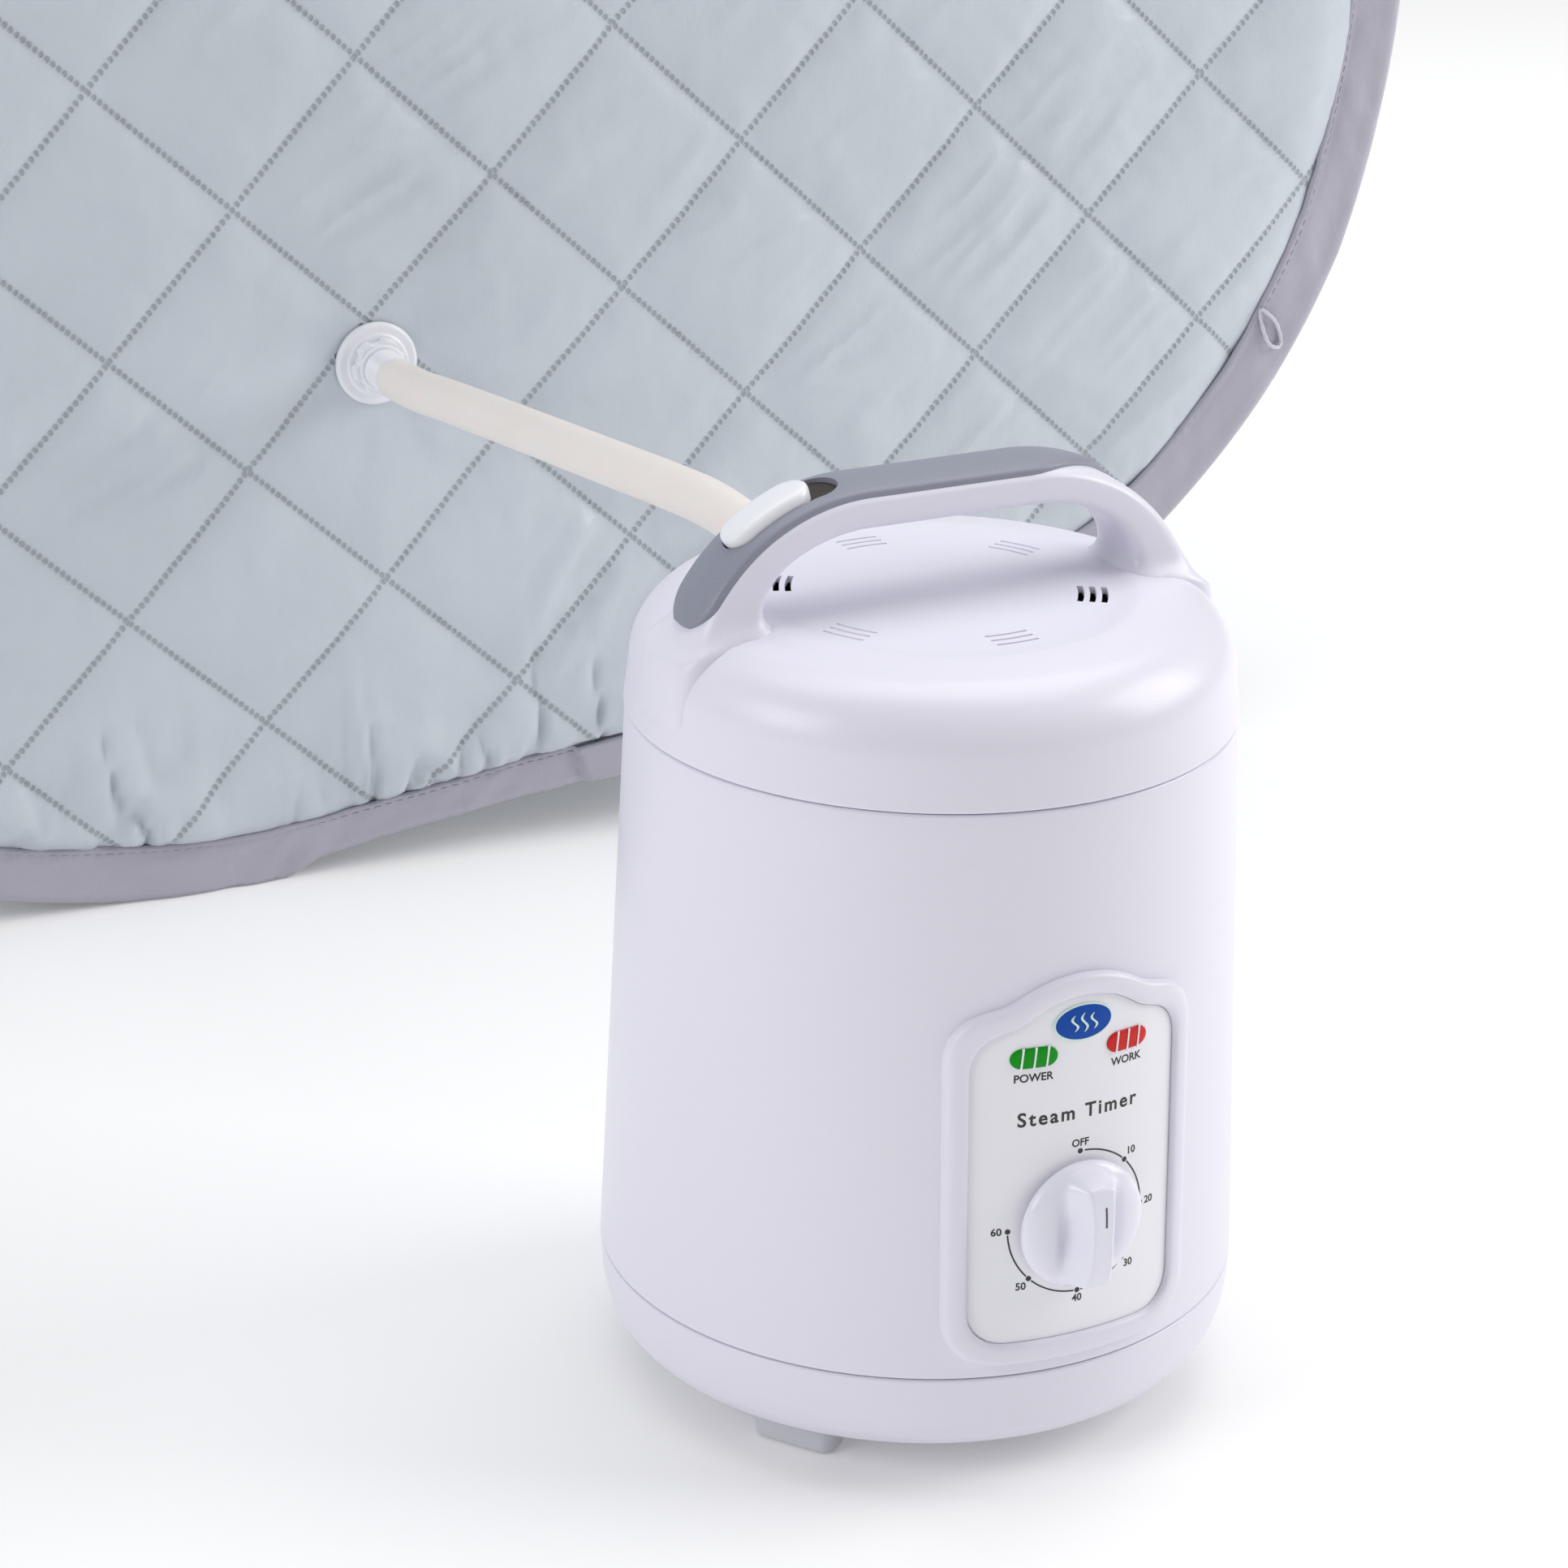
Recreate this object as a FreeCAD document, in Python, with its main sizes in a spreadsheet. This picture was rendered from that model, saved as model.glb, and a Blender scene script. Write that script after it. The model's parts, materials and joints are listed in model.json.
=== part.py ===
import FreeCAD, Part
import math
import os

import Sketcher

# Portable steam sauna: a pop-up quilted tent and the steam generator pot that feeds it.
#
# Frame, in millimetres: the floor is z = 0 and +Z is up. +Y runs from the steam generator
# into the tent's cabin. x = 0 is the tent's middle plane, which holds the steam port.
# The pot's own pieces are drawn about the pot's axis with the control panel facing -Y,
# and each gets the pot's Placement, a shift and a small yaw, at the end.

Vector = FreeCAD.Vector
Rotation = FreeCAD.Rotation
Placement = FreeCAD.Placement
X_AXIS, Y_AXIS, Z_AXIS = Vector(1, 0, 0), Vector(0, 1, 0), Vector(0, 0, 1)
ORIGIN = Vector(0, 0, 0)

DIMENSIONS = {
    # Tent: two flat spring hoops joined by a band of quilted fabric.
    "tent_half_width": 458,
    "tent_height": 1010,
    "tent_depth": 780,
    "rear_y": -121,
    "hoop_flat_half": 60,
    "hoop_shallow_radius": 448,
    "hoop_shallow_turn": 38,
    "panel_thick": 8,
    "panel_inset": 6,
    "wrap_inset": 2,
    "wrap_thick": 6,
    "binding_width": 26,
    "binding_proud": 1.6,
    "hoop_wire_radius": 2,
    "hoop_inset": 3.5,
    # Door and hand openings in the front panel.
    "door_half_width": 190,
    "door_low": 110,
    "door_high": 800,
    "door_gap": 0.8,
    "hand_near": 222,
    "hand_far": 392,
    "hand_low": 480,
    "hand_high": 570,
    "zip_half_width": 4,
    "zip_end": 46,
    "zip_thick": 1.6,
    # Neck opening in the roof.
    "neck_radius": 115,
    "neck_y": 470,
    "hem_width": 22,
    "collar_height": 62,
    "collar_thick": 5,
    # Steam port in the rear panel.
    "port_height": 210,
    "port_flange_radius": 16.5,
    "port_bore": 7.5,
    "hose_radius": 8.1,
    "hose_wall": 2.5,
    # Pot.
    "pot_x": 28,
    "pot_distance": 429.5,
    "pot_yaw": 2.3,
    "foot_height": 10.5,
    "base_low_radius": 92.5,
    "base_top": 38.8,
    "body_low": 39.2,
    "body_low_radius": 100,
    "body_top": 217.2,
    "body_top_radius": 92.8,
    "shell_wall": 2.5,
    "lid_low": 217.6,
    "lid_low_radius": 93.3,
    "lid_side_radius": 91.7,
    "shoulder_radius": 20.6,
    "shoulder_height": 231.2,
    "crown_radius": 473,
    "dish_radius": 62,
    "dish_depth": 1.2,
    "tank_radius": 71,
    "tank_low": 60,
    "tank_top": 205,
    "tank_wall": 1.5,
    # Handle: an arch of two quarter rings and a flat top.
    "arch_flat_half": 28,
    "arch_height": 229.5,
    "arch_outer": 60,
    "arch_inner": 35,
    "handle_half_width": 12.5,
    "grip_thick": 2.5,
    "grip_half_width": 11,
    # Control panel.
    "bezel_half_width": 41,
    "bezel_low": 44,
    "bezel_shoulder": 154,
    "bezel_peak": 166,
    "bezel_rim": 6.5,
    "bezel_proud": 2.4,
    "label_proud": 1.2,
    "dial_height": 87.2,
    "knob_gap": 1.3,
    "knob_radius": 19.7,
    "knob_length": 17,
    "badge_height": 151,
    "lamp_height": 142,
    "lamp_offset": 15.6,
}

doc = FreeCAD.newDocument("portable_steam_sauna")
sheet = doc.addObject("Spreadsheet::Sheet", "Dimensions")
for row, (alias, number) in enumerate(DIMENSIONS.items(), start=1):
    sheet.set(f"A{row}", alias)
    sheet.set(f"B{row}", str(number))
    sheet.setAlias(f"B{row}", alias)
doc.recompute()

pieces = {}      # node name: document object
pot_pieces = []  # the nodes that get the pot's Placement


# ---------------------------------------------------------------- helpers

def size(expression):
    """The value of an expression in the sheet's aliases, such as "panel_thick / 2"."""
    return float(sheet.evalExpression(str(expression)))


def bound(expression):
    """The same expression written for an object outside the sheet."""
    text = str(expression)
    for alias in sorted(DIMENSIONS, key=len, reverse=True):
        text = text.replace(alias, f"@{list(DIMENSIONS).index(alias)}@")
    for index, alias in enumerate(DIMENSIONS):
        text = text.replace(f"@{index}@", f"Dimensions.{alias}")
    return text


def keep(label, item, on_pot=False):
    """Registers an object as the sub-part called label."""
    item.Label = label
    pieces[label] = item
    if on_pot:
        pot_pieces.append(label)
    return item


def feature(shape, name="Shape"):
    """A Part::Feature that holds a shape made with Part's own functions."""
    item = doc.addObject("Part::Feature", name)
    item.Shape = shape
    return item


def primitive(kind, name, sizes, place=None):
    """A Part primitive whose sizes are bound to the sheet."""
    item = doc.addObject(f"Part::{kind}", name)
    for key, expression in sizes.items():
        item.setExpression(key, bound(expression))
    if place:
        item.Placement = place
    return item


def cylinder(name, radius, height, place=None):
    return primitive("Cylinder", name, {"Radius": radius, "Height": height}, place)


def box(name, length, width, height, place=None):
    sizes = {"Length": length, "Width": width, "Height": height}
    return primitive("Box", name, sizes, place)


def cut(name, base, tool):
    item = doc.addObject("Part::Cut", name)
    item.Base, item.Tool = base, tool
    return item


def common(name, base, tool):
    item = doc.addObject("Part::Common", name)
    item.Base, item.Tool = base, tool
    return item


def fuse(name, items):
    item = doc.addObject("Part::MultiFuse", name)
    item.Shapes = items
    return item


def at(x=0, y=0, z=0, rotation=None):
    return Placement(Vector(x, y, z), rotation or Rotation())


def facing(x, y, z, direction):
    """A Placement whose local +Z points along direction."""
    return Placement(Vector(x, y, z), Rotation(Z_AXIS, direction))


def ring_tube(name, outer, inner, height, place=None):
    """A plain tube from two bound cylinders."""
    body = cut(name, cylinder(name + "Outer", outer, height), cylinder(name + "Bore", inner, height))
    if place:
        body.Placement = place
    return body


def origin_plane(body, role):
    return next(item for item in body.Origin.OriginFeatures if item.Role == role)


def sketch_polygon(body, name, role, corners):
    """A closed polygon on an origin plane, each corner bound to the sheet by two dimensions."""
    sketch = body.newObject("Sketcher::SketchObject", name)
    sketch.AttachmentSupport = [(origin_plane(body, role), "")]
    sketch.MapMode = "FlatFace"
    values = [(size(x), size(y)) for x, y in corners]
    count = len(values)
    for index, (x, y) in enumerate(values):
        end_x, end_y = values[(index + 1) % count]
        sketch.addGeometry(Part.LineSegment(Vector(x, y, 0), Vector(end_x, end_y, 0)), False)
    for index in range(count):
        following = (index + 1) % count
        sketch.addConstraint(Sketcher.Constraint("Coincident", index, 2, following, 1))
    for index, corner in enumerate(corners):
        for kind, expression, number in zip(("DistanceX", "DistanceY"), corner, values[index]):
            rule = sketch.addConstraint(Sketcher.Constraint(kind, -1, 1, index, 1, number))
            sketch.setExpression(f"Constraints[{rule}]", bound(expression))
    return sketch


def turned_body(label, corners, on_pot=True):
    """A PartDesign body turned about Z from a half profile of (radius, height) corners."""
    body = doc.addObject("PartDesign::Body", label)
    sketch = sketch_polygon(body, label + "Profile", "XZ_Plane", corners)
    turn = body.newObject("PartDesign::Revolution", label + "Turn")
    turn.Profile = sketch
    turn.ReferenceAxis = (sketch, ["V_Axis"])
    turn.Angle = 360
    doc.recompute()
    return keep(label, body, on_pot)


def padded_body(label, role, corners, length, both_ways=False, on_pot=False):
    """A PartDesign body padded from a polygon on an origin plane."""
    body = doc.addObject("PartDesign::Body", label)
    sketch = sketch_polygon(body, label + "Outline", role, corners)
    pad = body.newObject("PartDesign::Pad", label + "Pad")
    pad.Profile = sketch
    pad.setExpression("Length", bound(length))
    pad.Midplane = both_ways
    doc.recompute()
    return keep(label, body, on_pot)


def profile_face(points):
    """A face in the XZ plane. A point is (x, z), or (middle, end) of an arc."""
    def spot(pair):
        return Vector(pair[0], 0, pair[1])

    edges = []
    last = points[0]
    for point in points[1:] + [points[0]]:
        if isinstance(point[0], tuple):
            middle, end = point
            edges.append(Part.Arc(spot(last), spot(middle), spot(end)).toShape())
            last = end
        elif (spot(point) - spot(last)).Length > 1e-6:
            edges.append(Part.LineSegment(spot(last), spot(point)).toShape())
            last = point
    return Part.Face(Part.Wire(edges))


def on_arc(centre, radius, degrees):
    """A point on an arc, its angle measured from straight up towards +X."""
    turn = math.radians(degrees)
    return (centre[0] + radius * math.sin(turn), centre[1] + radius * math.cos(turn))


def polar(radius, degrees, z=0.0):
    """A spot about the Z axis, its angle counted from +X towards +Y."""
    turn = math.radians(degrees)
    return Vector(radius * math.cos(turn), radius * math.sin(turn), z)


# ---------------------------------------------------------------- tent

REAR = size("rear_y")
FRONT = size("rear_y + tent_depth")
THICK = size("panel_thick")


def hoop_wire(inset):
    """The closed outline of both hoops in the plane y = 0, moved inwards by inset.

    A short flat, a shallow arc and a tighter corner arc make each quarter.
    """
    half = size("tent_half_width")
    flat = size("hoop_flat_half")
    shallow = size("hoop_shallow_radius")
    turn = size("hoop_shallow_turn")
    reach = math.sin(math.radians(turn))
    corner = (half - flat - shallow * reach) / (1 - reach)
    height = size("tent_height")
    shallow_centre = (flat, height - shallow)
    corner_centre = on_arc(shallow_centre, shallow - corner, turn)

    def quarter(flip_x, flip_z):
        def spot(centre, radius, degrees):
            x, z = on_arc(centre, radius - inset, degrees)
            return Vector(flip_x * x, 0, z if flip_z > 0 else height - z)

        top = [spot(shallow_centre, shallow, angle) for angle in (0, turn / 2, turn)]
        side = [spot(corner_centre, corner, angle) for angle in (turn, (turn + 90) / 2, 90)]
        return top, side

    edges = []
    corners = [(1, 1), (1, -1), (-1, -1), (-1, 1)]
    for flip_x, flip_z in corners:
        for arc in quarter(flip_x, flip_z):
            edges.append(Part.Arc(*arc).toShape())
    ends = [quarter(*flips) for flips in corners]
    for a, b in ((0, 1), (2, 3)):
        edges.append(Part.LineSegment(ends[a][1][2], ends[b][1][2]).toShape())
    for a, b in ((1, 2), (3, 0)):
        edges.append(Part.LineSegment(ends[a][0][0], ends[b][0][0]).toShape())
    return Part.Wire(Part.__sortEdges__(edges))


def slab(inset, y_low, y_high, name):
    """The hoop outline, moved inwards by inset, extruded along Y as a Part::Extrusion."""
    outline = feature(hoop_wire(inset), name + "Outline")
    outline.Placement = at(y=y_low)
    item = doc.addObject("Part::Extrusion", name)
    item.Base = outline
    item.DirMode = "Custom"
    item.Dir = Y_AXIS
    item.LengthFwd = y_high - y_low
    item.Solid = True
    return item


def quilted_panel(label, y_low, holes):
    """A flat quilted panel with holes, its edge hidden in the binding."""
    plate = slab(size("panel_inset"), y_low, y_low + THICK, label + "Plate")
    return keep(label, cut(label + "Cut", plate, holes))


def hoop_and_binding(side, y_low):
    """The spring wire and the satin binding that wraps it and the panel's edge."""
    wire = hoop_wire(size("hoop_inset"))
    wire.translate(Vector(0, y_low + THICK / 2, 0))
    start = wire.Edges[0].valueAt(wire.Edges[0].FirstParameter)
    heading = wire.Edges[0].tangentAt(wire.Edges[0].FirstParameter)
    section = Part.Wire(Part.makeCircle(size("hoop_wire_radius"), start, heading))
    hoop = feature(wire.makePipeShell([section], True, True), side + "HoopShape")
    keep(side + "_hoop", hoop)

    proud = size("binding_proud")
    outer = slab(0, y_low - proud, y_low + THICK + proud, side + "BindingOuter")
    inner = slab(size("binding_width"), y_low - proud, y_low + THICK + proud, side + "BindingInner")
    edge = slab(size("panel_inset"), y_low, y_low + THICK, side + "BindingSlot")
    ring = cut(side + "BindingRing", outer, fuse(side + "BindingVoid", [inner, edge]))
    keep(side + "_binding", cut(side + "BindingCut", ring, hoop))


def tent_panels():
    port = cylinder("PortHole", "port_bore + 1.5", "panel_thick + 4",
                    facing(0, REAR - 2, size("port_height"), Y_AXIS))
    quilted_panel("rear_panel", REAR, port)
    hoop_and_binding("rear", REAR)

    low_y = FRONT - THICK - 2
    depth = "panel_thick + 4"
    doorway = box("Doorway", "2 * door_half_width", depth, "door_high - door_low",
                  at(-size("door_half_width"), low_y, size("door_low")))
    hands = [
        box("HandHole" + side, "hand_far - hand_near", depth, "hand_high - hand_low",
            at(left, low_y, size("hand_low")))
        for side, left in (("Left", -size("hand_far")), ("Right", size("hand_near")))
    ]
    quilted_panel("front_panel", FRONT - THICK, fuse("FrontHoles", [doorway] + hands))
    hoop_and_binding("front", FRONT - THICK)


def tent_wrap():
    """The quilted band between the hoops: floor, two side walls and a roof with the neck hole."""
    proud = size("binding_proud")
    y_low, y_high = REAR + THICK + proud, FRONT - THICK - proud
    inset = size("wrap_inset")
    split = size("hoop_flat_half") + size("hoop_shallow_radius") * math.sin(
        math.radians(size("hoop_shallow_turn")))
    outside = size("tent_half_width") - split
    length, height = y_high - y_low, size("tent_height")

    def band(name):
        outer = slab(inset, y_low, y_high, name + "Outer")
        inner = slab(inset + size("wrap_thick"), y_low, y_high, name + "Inner")
        return cut(name + "Band", outer, inner)

    def region(name, x, z, wide, tall):
        item = doc.addObject("Part::Box", name + "Region")
        item.Length, item.Width, item.Height = wide, length, tall
        item.Placement = at(x, y_low, z)
        return item

    zones = {
        "floor_panel": (-split, 0, 2 * split, height / 2),
        "left_wall": (-split - outside, 0, outside, height),
        "right_wall": (split, 0, outside, height),
    }
    for label, (x, z, wide, tall) in zones.items():
        keep(label, common(label + "Common", band(label), region(label, x, z, wide, tall)))
    top = common("RoofCommon", band("roof"), region("roof", -split, height / 2, 2 * split, height / 2))
    neck = cylinder("NeckHole", "neck_radius + hem_width", 40,
                    at(0, REAR + size("neck_y"), height - 30))
    keep("roof_panel", cut("RoofCut", top, neck))


def door_flap(label, side):
    """Half of the zipped door: a quilted leaf whose outer edge folds on the fixed panel."""
    edge = f"{side} * (door_half_width - door_gap)"
    middle = f"{side} * door_gap / 2"
    corners = [
        (middle, "door_low + door_gap"), (edge, "door_low + door_gap"),
        (edge, "door_high - door_gap"), (middle, "door_high - door_gap"),
    ]
    body = padded_body(label, "XZ_Plane", corners, "panel_thick")
    body.Placement = at(y=FRONT)


def hand_flap(label, side):
    """A quilted flap that hangs from its top edge over a hand opening."""
    near, far = f"{side} * (hand_near + door_gap)", f"{side} * (hand_far - door_gap)"
    corners = [
        (near, "hand_low + door_gap"), (far, "hand_low + door_gap"),
        (far, "hand_high - door_gap"), (near, "hand_high - door_gap"),
    ]
    body = padded_body(label, "XZ_Plane", corners, "panel_thick")
    body.Placement = at(y=FRONT)


def zipper():
    """The zip tapes on the door's meeting edges, the fixed ends of the zip, and the slider."""
    gap, half, thick = size("door_gap"), size("zip_half_width"), size("zip_thick")
    for label, side in (("zip_tape_left", -1), ("zip_tape_right", 1)):
        x_low = gap / 2 if side > 0 else -gap / 2 - half
        item = box(label + "Strip", "zip_half_width", "zip_thick", "door_high - door_low - 2 * door_gap",
                   at(x_low, FRONT, size("door_low + door_gap")))
        keep(label, item)
    ends = [
        box("ZipEnd" + name, "2 * zip_half_width", "zip_thick", tall, at(-half, FRONT, size(low)))
        for name, low, tall in (("Low", "door_low - zip_end", "zip_end"), ("High", "door_high", "zip_end"))
    ]
    keep("zip_ends", fuse("ZipEnds", ends))

    top = size("door_high") + 27
    body = box("SliderBody", 10, 3.4, 13, at(-5, FRONT + thick + 0.4, top))
    bridge = box("SliderBridge", 3, 2.4, 9, at(-1.5, FRONT + thick + 3.8, top + 2))
    tab = box("SliderTab", 6, 1.4, 34, at(-3, FRONT + thick + 6.2, top - 23))
    hole = cylinder("SliderTabHole", 1.8, 4, facing(0, FRONT + thick + 5, top - 18, Y_AXIS))
    keep("zip_slider", cut("SliderCut", fuse("SliderFuse", [body, bridge, tab]), hole))


def neck_collar():
    """The padded hem in the roof's hole, the soft collar on it and the strap that gathers it."""
    hem_place = at(0, REAR + size("neck_y"), size("tent_height - wrap_inset - 2 * wrap_thick"))
    keep("neck_hem", ring_tube("Hem", "neck_radius + hem_width", "neck_radius", "2 * wrap_thick",
                               hem_place))
    place = at(0, REAR + size("neck_y"), size("tent_height - wrap_inset"))
    keep("neck_collar", ring_tube("Collar", "neck_radius + collar_thick", "neck_radius",
                                  "collar_height", place))
    strap_z = size("tent_height - wrap_inset + collar_height * 0.55")
    strap = ring_tube("Strap", "neck_radius + collar_thick + 1.6", "neck_radius + collar_thick", 22)
    tab = box("StrapTab", 46, 3, 22, at(-23, size("neck_radius + collar_thick - 0.6"), 0))
    tab = cut("StrapTabCut", tab, cylinder("StrapTabBore", "neck_radius + collar_thick", 22))
    item = fuse("StrapFuse", [strap, tab])
    item.Placement = at(0, REAR + size("neck_y"), strap_z)
    keep("neck_strap", item)


def tie_loop():
    """A small cord loop sewn to the inner edge of the rear binding, for tying the folded tent."""
    loop = Part.makeTorus(7.5, 0.9, ORIGIN, Y_AXIS)
    loop.translate(Vector(402, REAR - size("binding_proud") - 0.9, 183))
    keep("tie_loop", feature(loop, "TieLoopShape"))


def steam_port():
    """The bulkhead fitting that the hose pushes onto: flange, nut, ribbed spigot, diffuser."""
    height = size("port_height")
    outwards = Vector(0, -1, 0)
    flange = ring_tube("FlangeDisc", "port_flange_radius", "port_bore + 0.2", 3,
                       facing(0, REAR, height, outwards))
    keep("port_flange", flange)

    lugs = [cylinder("NutCore", 10.2, 5, facing(0, REAR - 3, height, outwards))]
    for index in range(6):
        lug = box(f"NutLug{index}", 4.6, 5, 3.2)
        spin = Placement(ORIGIN, Rotation(Y_AXIS, 60 * index))
        lug.Placement = at(0, REAR - 3, height) * spin * at(-2.3, -5, 8.4)
        lugs.append(lug)
    bore = cylinder("NutBore", "port_bore + 0.2", 8, facing(0, REAR - 1, height, outwards))
    keep("port_nut", cut("NutCut", fuse("NutFuse", lugs), bore))

    spigot = [
        cylinder("SpigotCollar", 13, 1.5, facing(0, REAR + THICK + 1.5, height, outwards)),
        cylinder("SpigotRoot", "port_bore", 32.4, facing(0, REAR + THICK + 1, height, outwards)),
        cylinder("SpigotBarb", "hose_radius - hose_wall", 50, facing(0, REAR + THICK, height, outwards)),
    ]
    for index in range(5):
        rib = cylinder(f"SpigotRib{index}", "port_bore + 0.7", 1.4,
                       facing(0, REAR - 9.4 - 2.4 * index, height, outwards))
        spigot.append(rib)
    bore = cylinder("SpigotBore", 3.4, 80, facing(0, REAR + 40, height, outwards))
    keep("port_spigot", cut("SpigotCut", fuse("SpigotFuse", spigot), bore))

    cap = cylinder("DiffuserDisc", 22, 13, facing(0, REAR + THICK, height, Y_AXIS))
    hollow = cylinder("DiffuserHollow", 20, 11, facing(0, REAR + THICK, height, Y_AXIS))
    vents = []
    for index in range(8):
        spot = polar(12, 45 * index)
        vents.append(cylinder(f"DiffuserVent{index}", 2.2, 20,
                              facing(spot.x, REAR + THICK, height + spot.y, Y_AXIS)))
    keep("port_diffuser", cut("DiffuserCut", cap, fuse("DiffuserVoid", [hollow] + vents)))


# ---------------------------------------------------------------- pot casings

PANEL_FRONT, PANEL_REACH = -120, 60   # where the control panel's cutting blocks start and how deep
HOSE_START_GAP = 23.5   # from the rear panel's face to the hose's end on the port
POT_AXIS = Vector(size("pot_x"), REAR - size("pot_distance"), 0)
TO_PORT = Vector(0, REAR - HOSE_START_GAP, 0) - POT_AXIS
BADGE_HALVES = (9.5, 5.4)
SCREW_CIRCLE = 64       # radius on which the base's screws and posts stand
OUTLET_HEIGHT = 180.0   # steam outlet on the body wall, which points at the port
OUTLET_ANGLE = math.degrees(math.atan2(TO_PORT.y, TO_PORT.x)) - size("pot_yaw")
INLET_HEIGHT = 62.0     # power inlet, which faces straight along +X
INLET_ANGLE = -size("pot_yaw")
# The nozzle's centre line as (distance from the pot's axis, height).
NOZZLE_LINE = [(84, OUTLET_HEIGHT), (104, OUTLET_HEIGHT), (104, 226), (106, 232), (110, 234.8), (118, 235.6)]


def body_radius(height):
    """The outer radius of the tapered pot body at a height."""
    low, high = size("body_low"), size("body_top")
    share = (height - low) / (high - low)
    return size("body_low_radius") * (1 - share) + size("body_top_radius") * share


def pot_base():
    """The rounded base pan, its feet and the screws that hold it."""
    low, wall = "foot_height", "shell_wall"
    turned_body("pot_base", [
        ("0", low), ("base_low_radius - 7", low), ("base_low_radius", f"{low} + 2"),
        ("base_low_radius + 4", f"{low} + 6"), ("body_low_radius - 1", f"{low} + 15"),
        ("body_low_radius", "base_top"), (f"body_low_radius - {wall}", "base_top"),
        (f"body_low_radius - 1 - {wall}", f"{low} + 15"),
        (f"base_low_radius + 4 - {wall}", f"{low} + 7"),
        ("base_low_radius - 8", f"{low} + {wall}"), ("0", f"{low} + {wall}"),
    ])
    blocks = []
    for index, degrees in enumerate((-35, 35, 145, 215)):
        foot = box(f"Foot{index}", 12, 27, "foot_height")
        foot.Placement = Placement(ORIGIN, Rotation(Z_AXIS, degrees)) * at(70.5, -13.5, 0)
        blocks.append(foot)
    keep("pot_feet", feature_group("FeetGroup", blocks), True)

    screws = []
    for index in range(4):
        spot = polar(SCREW_CIRCLE, 90 * index, size("foot_height") - 1.6)
        head = cylinder(f"BaseScrewHead{index}", 3.4, 1.6, Placement(spot, Rotation()))
        shank = cylinder(f"BaseScrewShank{index}", 1.6, 12, Placement(spot, Rotation()))
        screws.append(fuse(f"BaseScrew{index}", [head, shank]))
    keep("base_screws", feature_group("BaseScrewGroup", screws), True)
    holes = [
        cylinder(f"BaseHole{index}", 1.6, 12, Placement(polar(SCREW_CIRCLE, 90 * index, 5), Rotation()))
        for index in range(4)
    ]
    base = cut("BaseCut", pieces["pot_base"], fuse("BaseHoles", holes))
    keep("pot_base", base)


def feature_group(name, items):
    """Separate solids that share one node."""
    doc.recompute()
    return feature(Part.makeCompound([item.Shape for item in items]), name)


def cone_shell(name, proud_low, proud_high, z_low, z_high):
    """A conical layer on the body's wall, between two distances outside it."""
    height = z_high - z_low
    low, high = body_radius(z_low), body_radius(z_high)
    outer = Part.makeCone(low + proud_high, high + proud_high, height, Vector(0, 0, z_low))
    inner = Part.makeCone(low + proud_low, high + proud_low, height, Vector(0, 0, z_low))
    return feature(outer.cut(inner), name)


def bezel_outline(inset, name):
    """The arched outline of the control panel, extruded through the front wall."""
    half, low = size("bezel_half_width") - inset, size("bezel_low") + inset
    shoulder, peak = size("bezel_shoulder") - inset, size("bezel_peak") - inset
    corner = 14 - inset / 2
    arch = half - corner
    turn = corner * (1 - math.sqrt(0.5))
    face = profile_face([
        (-half, low + corner),
        ((-half + turn, low + turn), (-half + corner, low)),
        (half - corner, low),
        ((half - turn, low + turn), (half, low + corner)),
        (half, shoulder - corner),
        ((half - turn, shoulder - turn), (arch, shoulder)),
        ((0, peak), (-arch, shoulder)),
        ((-half + turn, shoulder - turn), (-half, shoulder - corner)),
    ])
    face.translate(Vector(0, PANEL_FRONT, 0))
    return feature(face.extrude(Vector(0, PANEL_REACH, 0)), name)


def front_cylinder(name, x, z, radius, y_from, length):
    """A bound cylinder whose axis runs back from y_from along +Y."""
    return cylinder(name, radius, length, facing(x, y_from, z, Y_AXIS))


def lens_shape(x, name, grow=0.0):
    """A lamp lens: a flat-sided oval 15.5 wide and 7.5 high, extruded through the front wall."""
    half, radius = 4, 3.75 + grow
    height = size("lamp_height")
    face = profile_face([
        (x - half, height - radius), (x + half, height - radius),
        ((x + half + radius, height), (x + half, height + radius)),
        (x - half, height + radius),
        ((x - half - radius, height), (x - half, height - radius)),
    ])
    face.translate(Vector(0, PANEL_FRONT, 0))
    return feature(face.extrude(Vector(0, PANEL_REACH, 0)), name)


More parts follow.
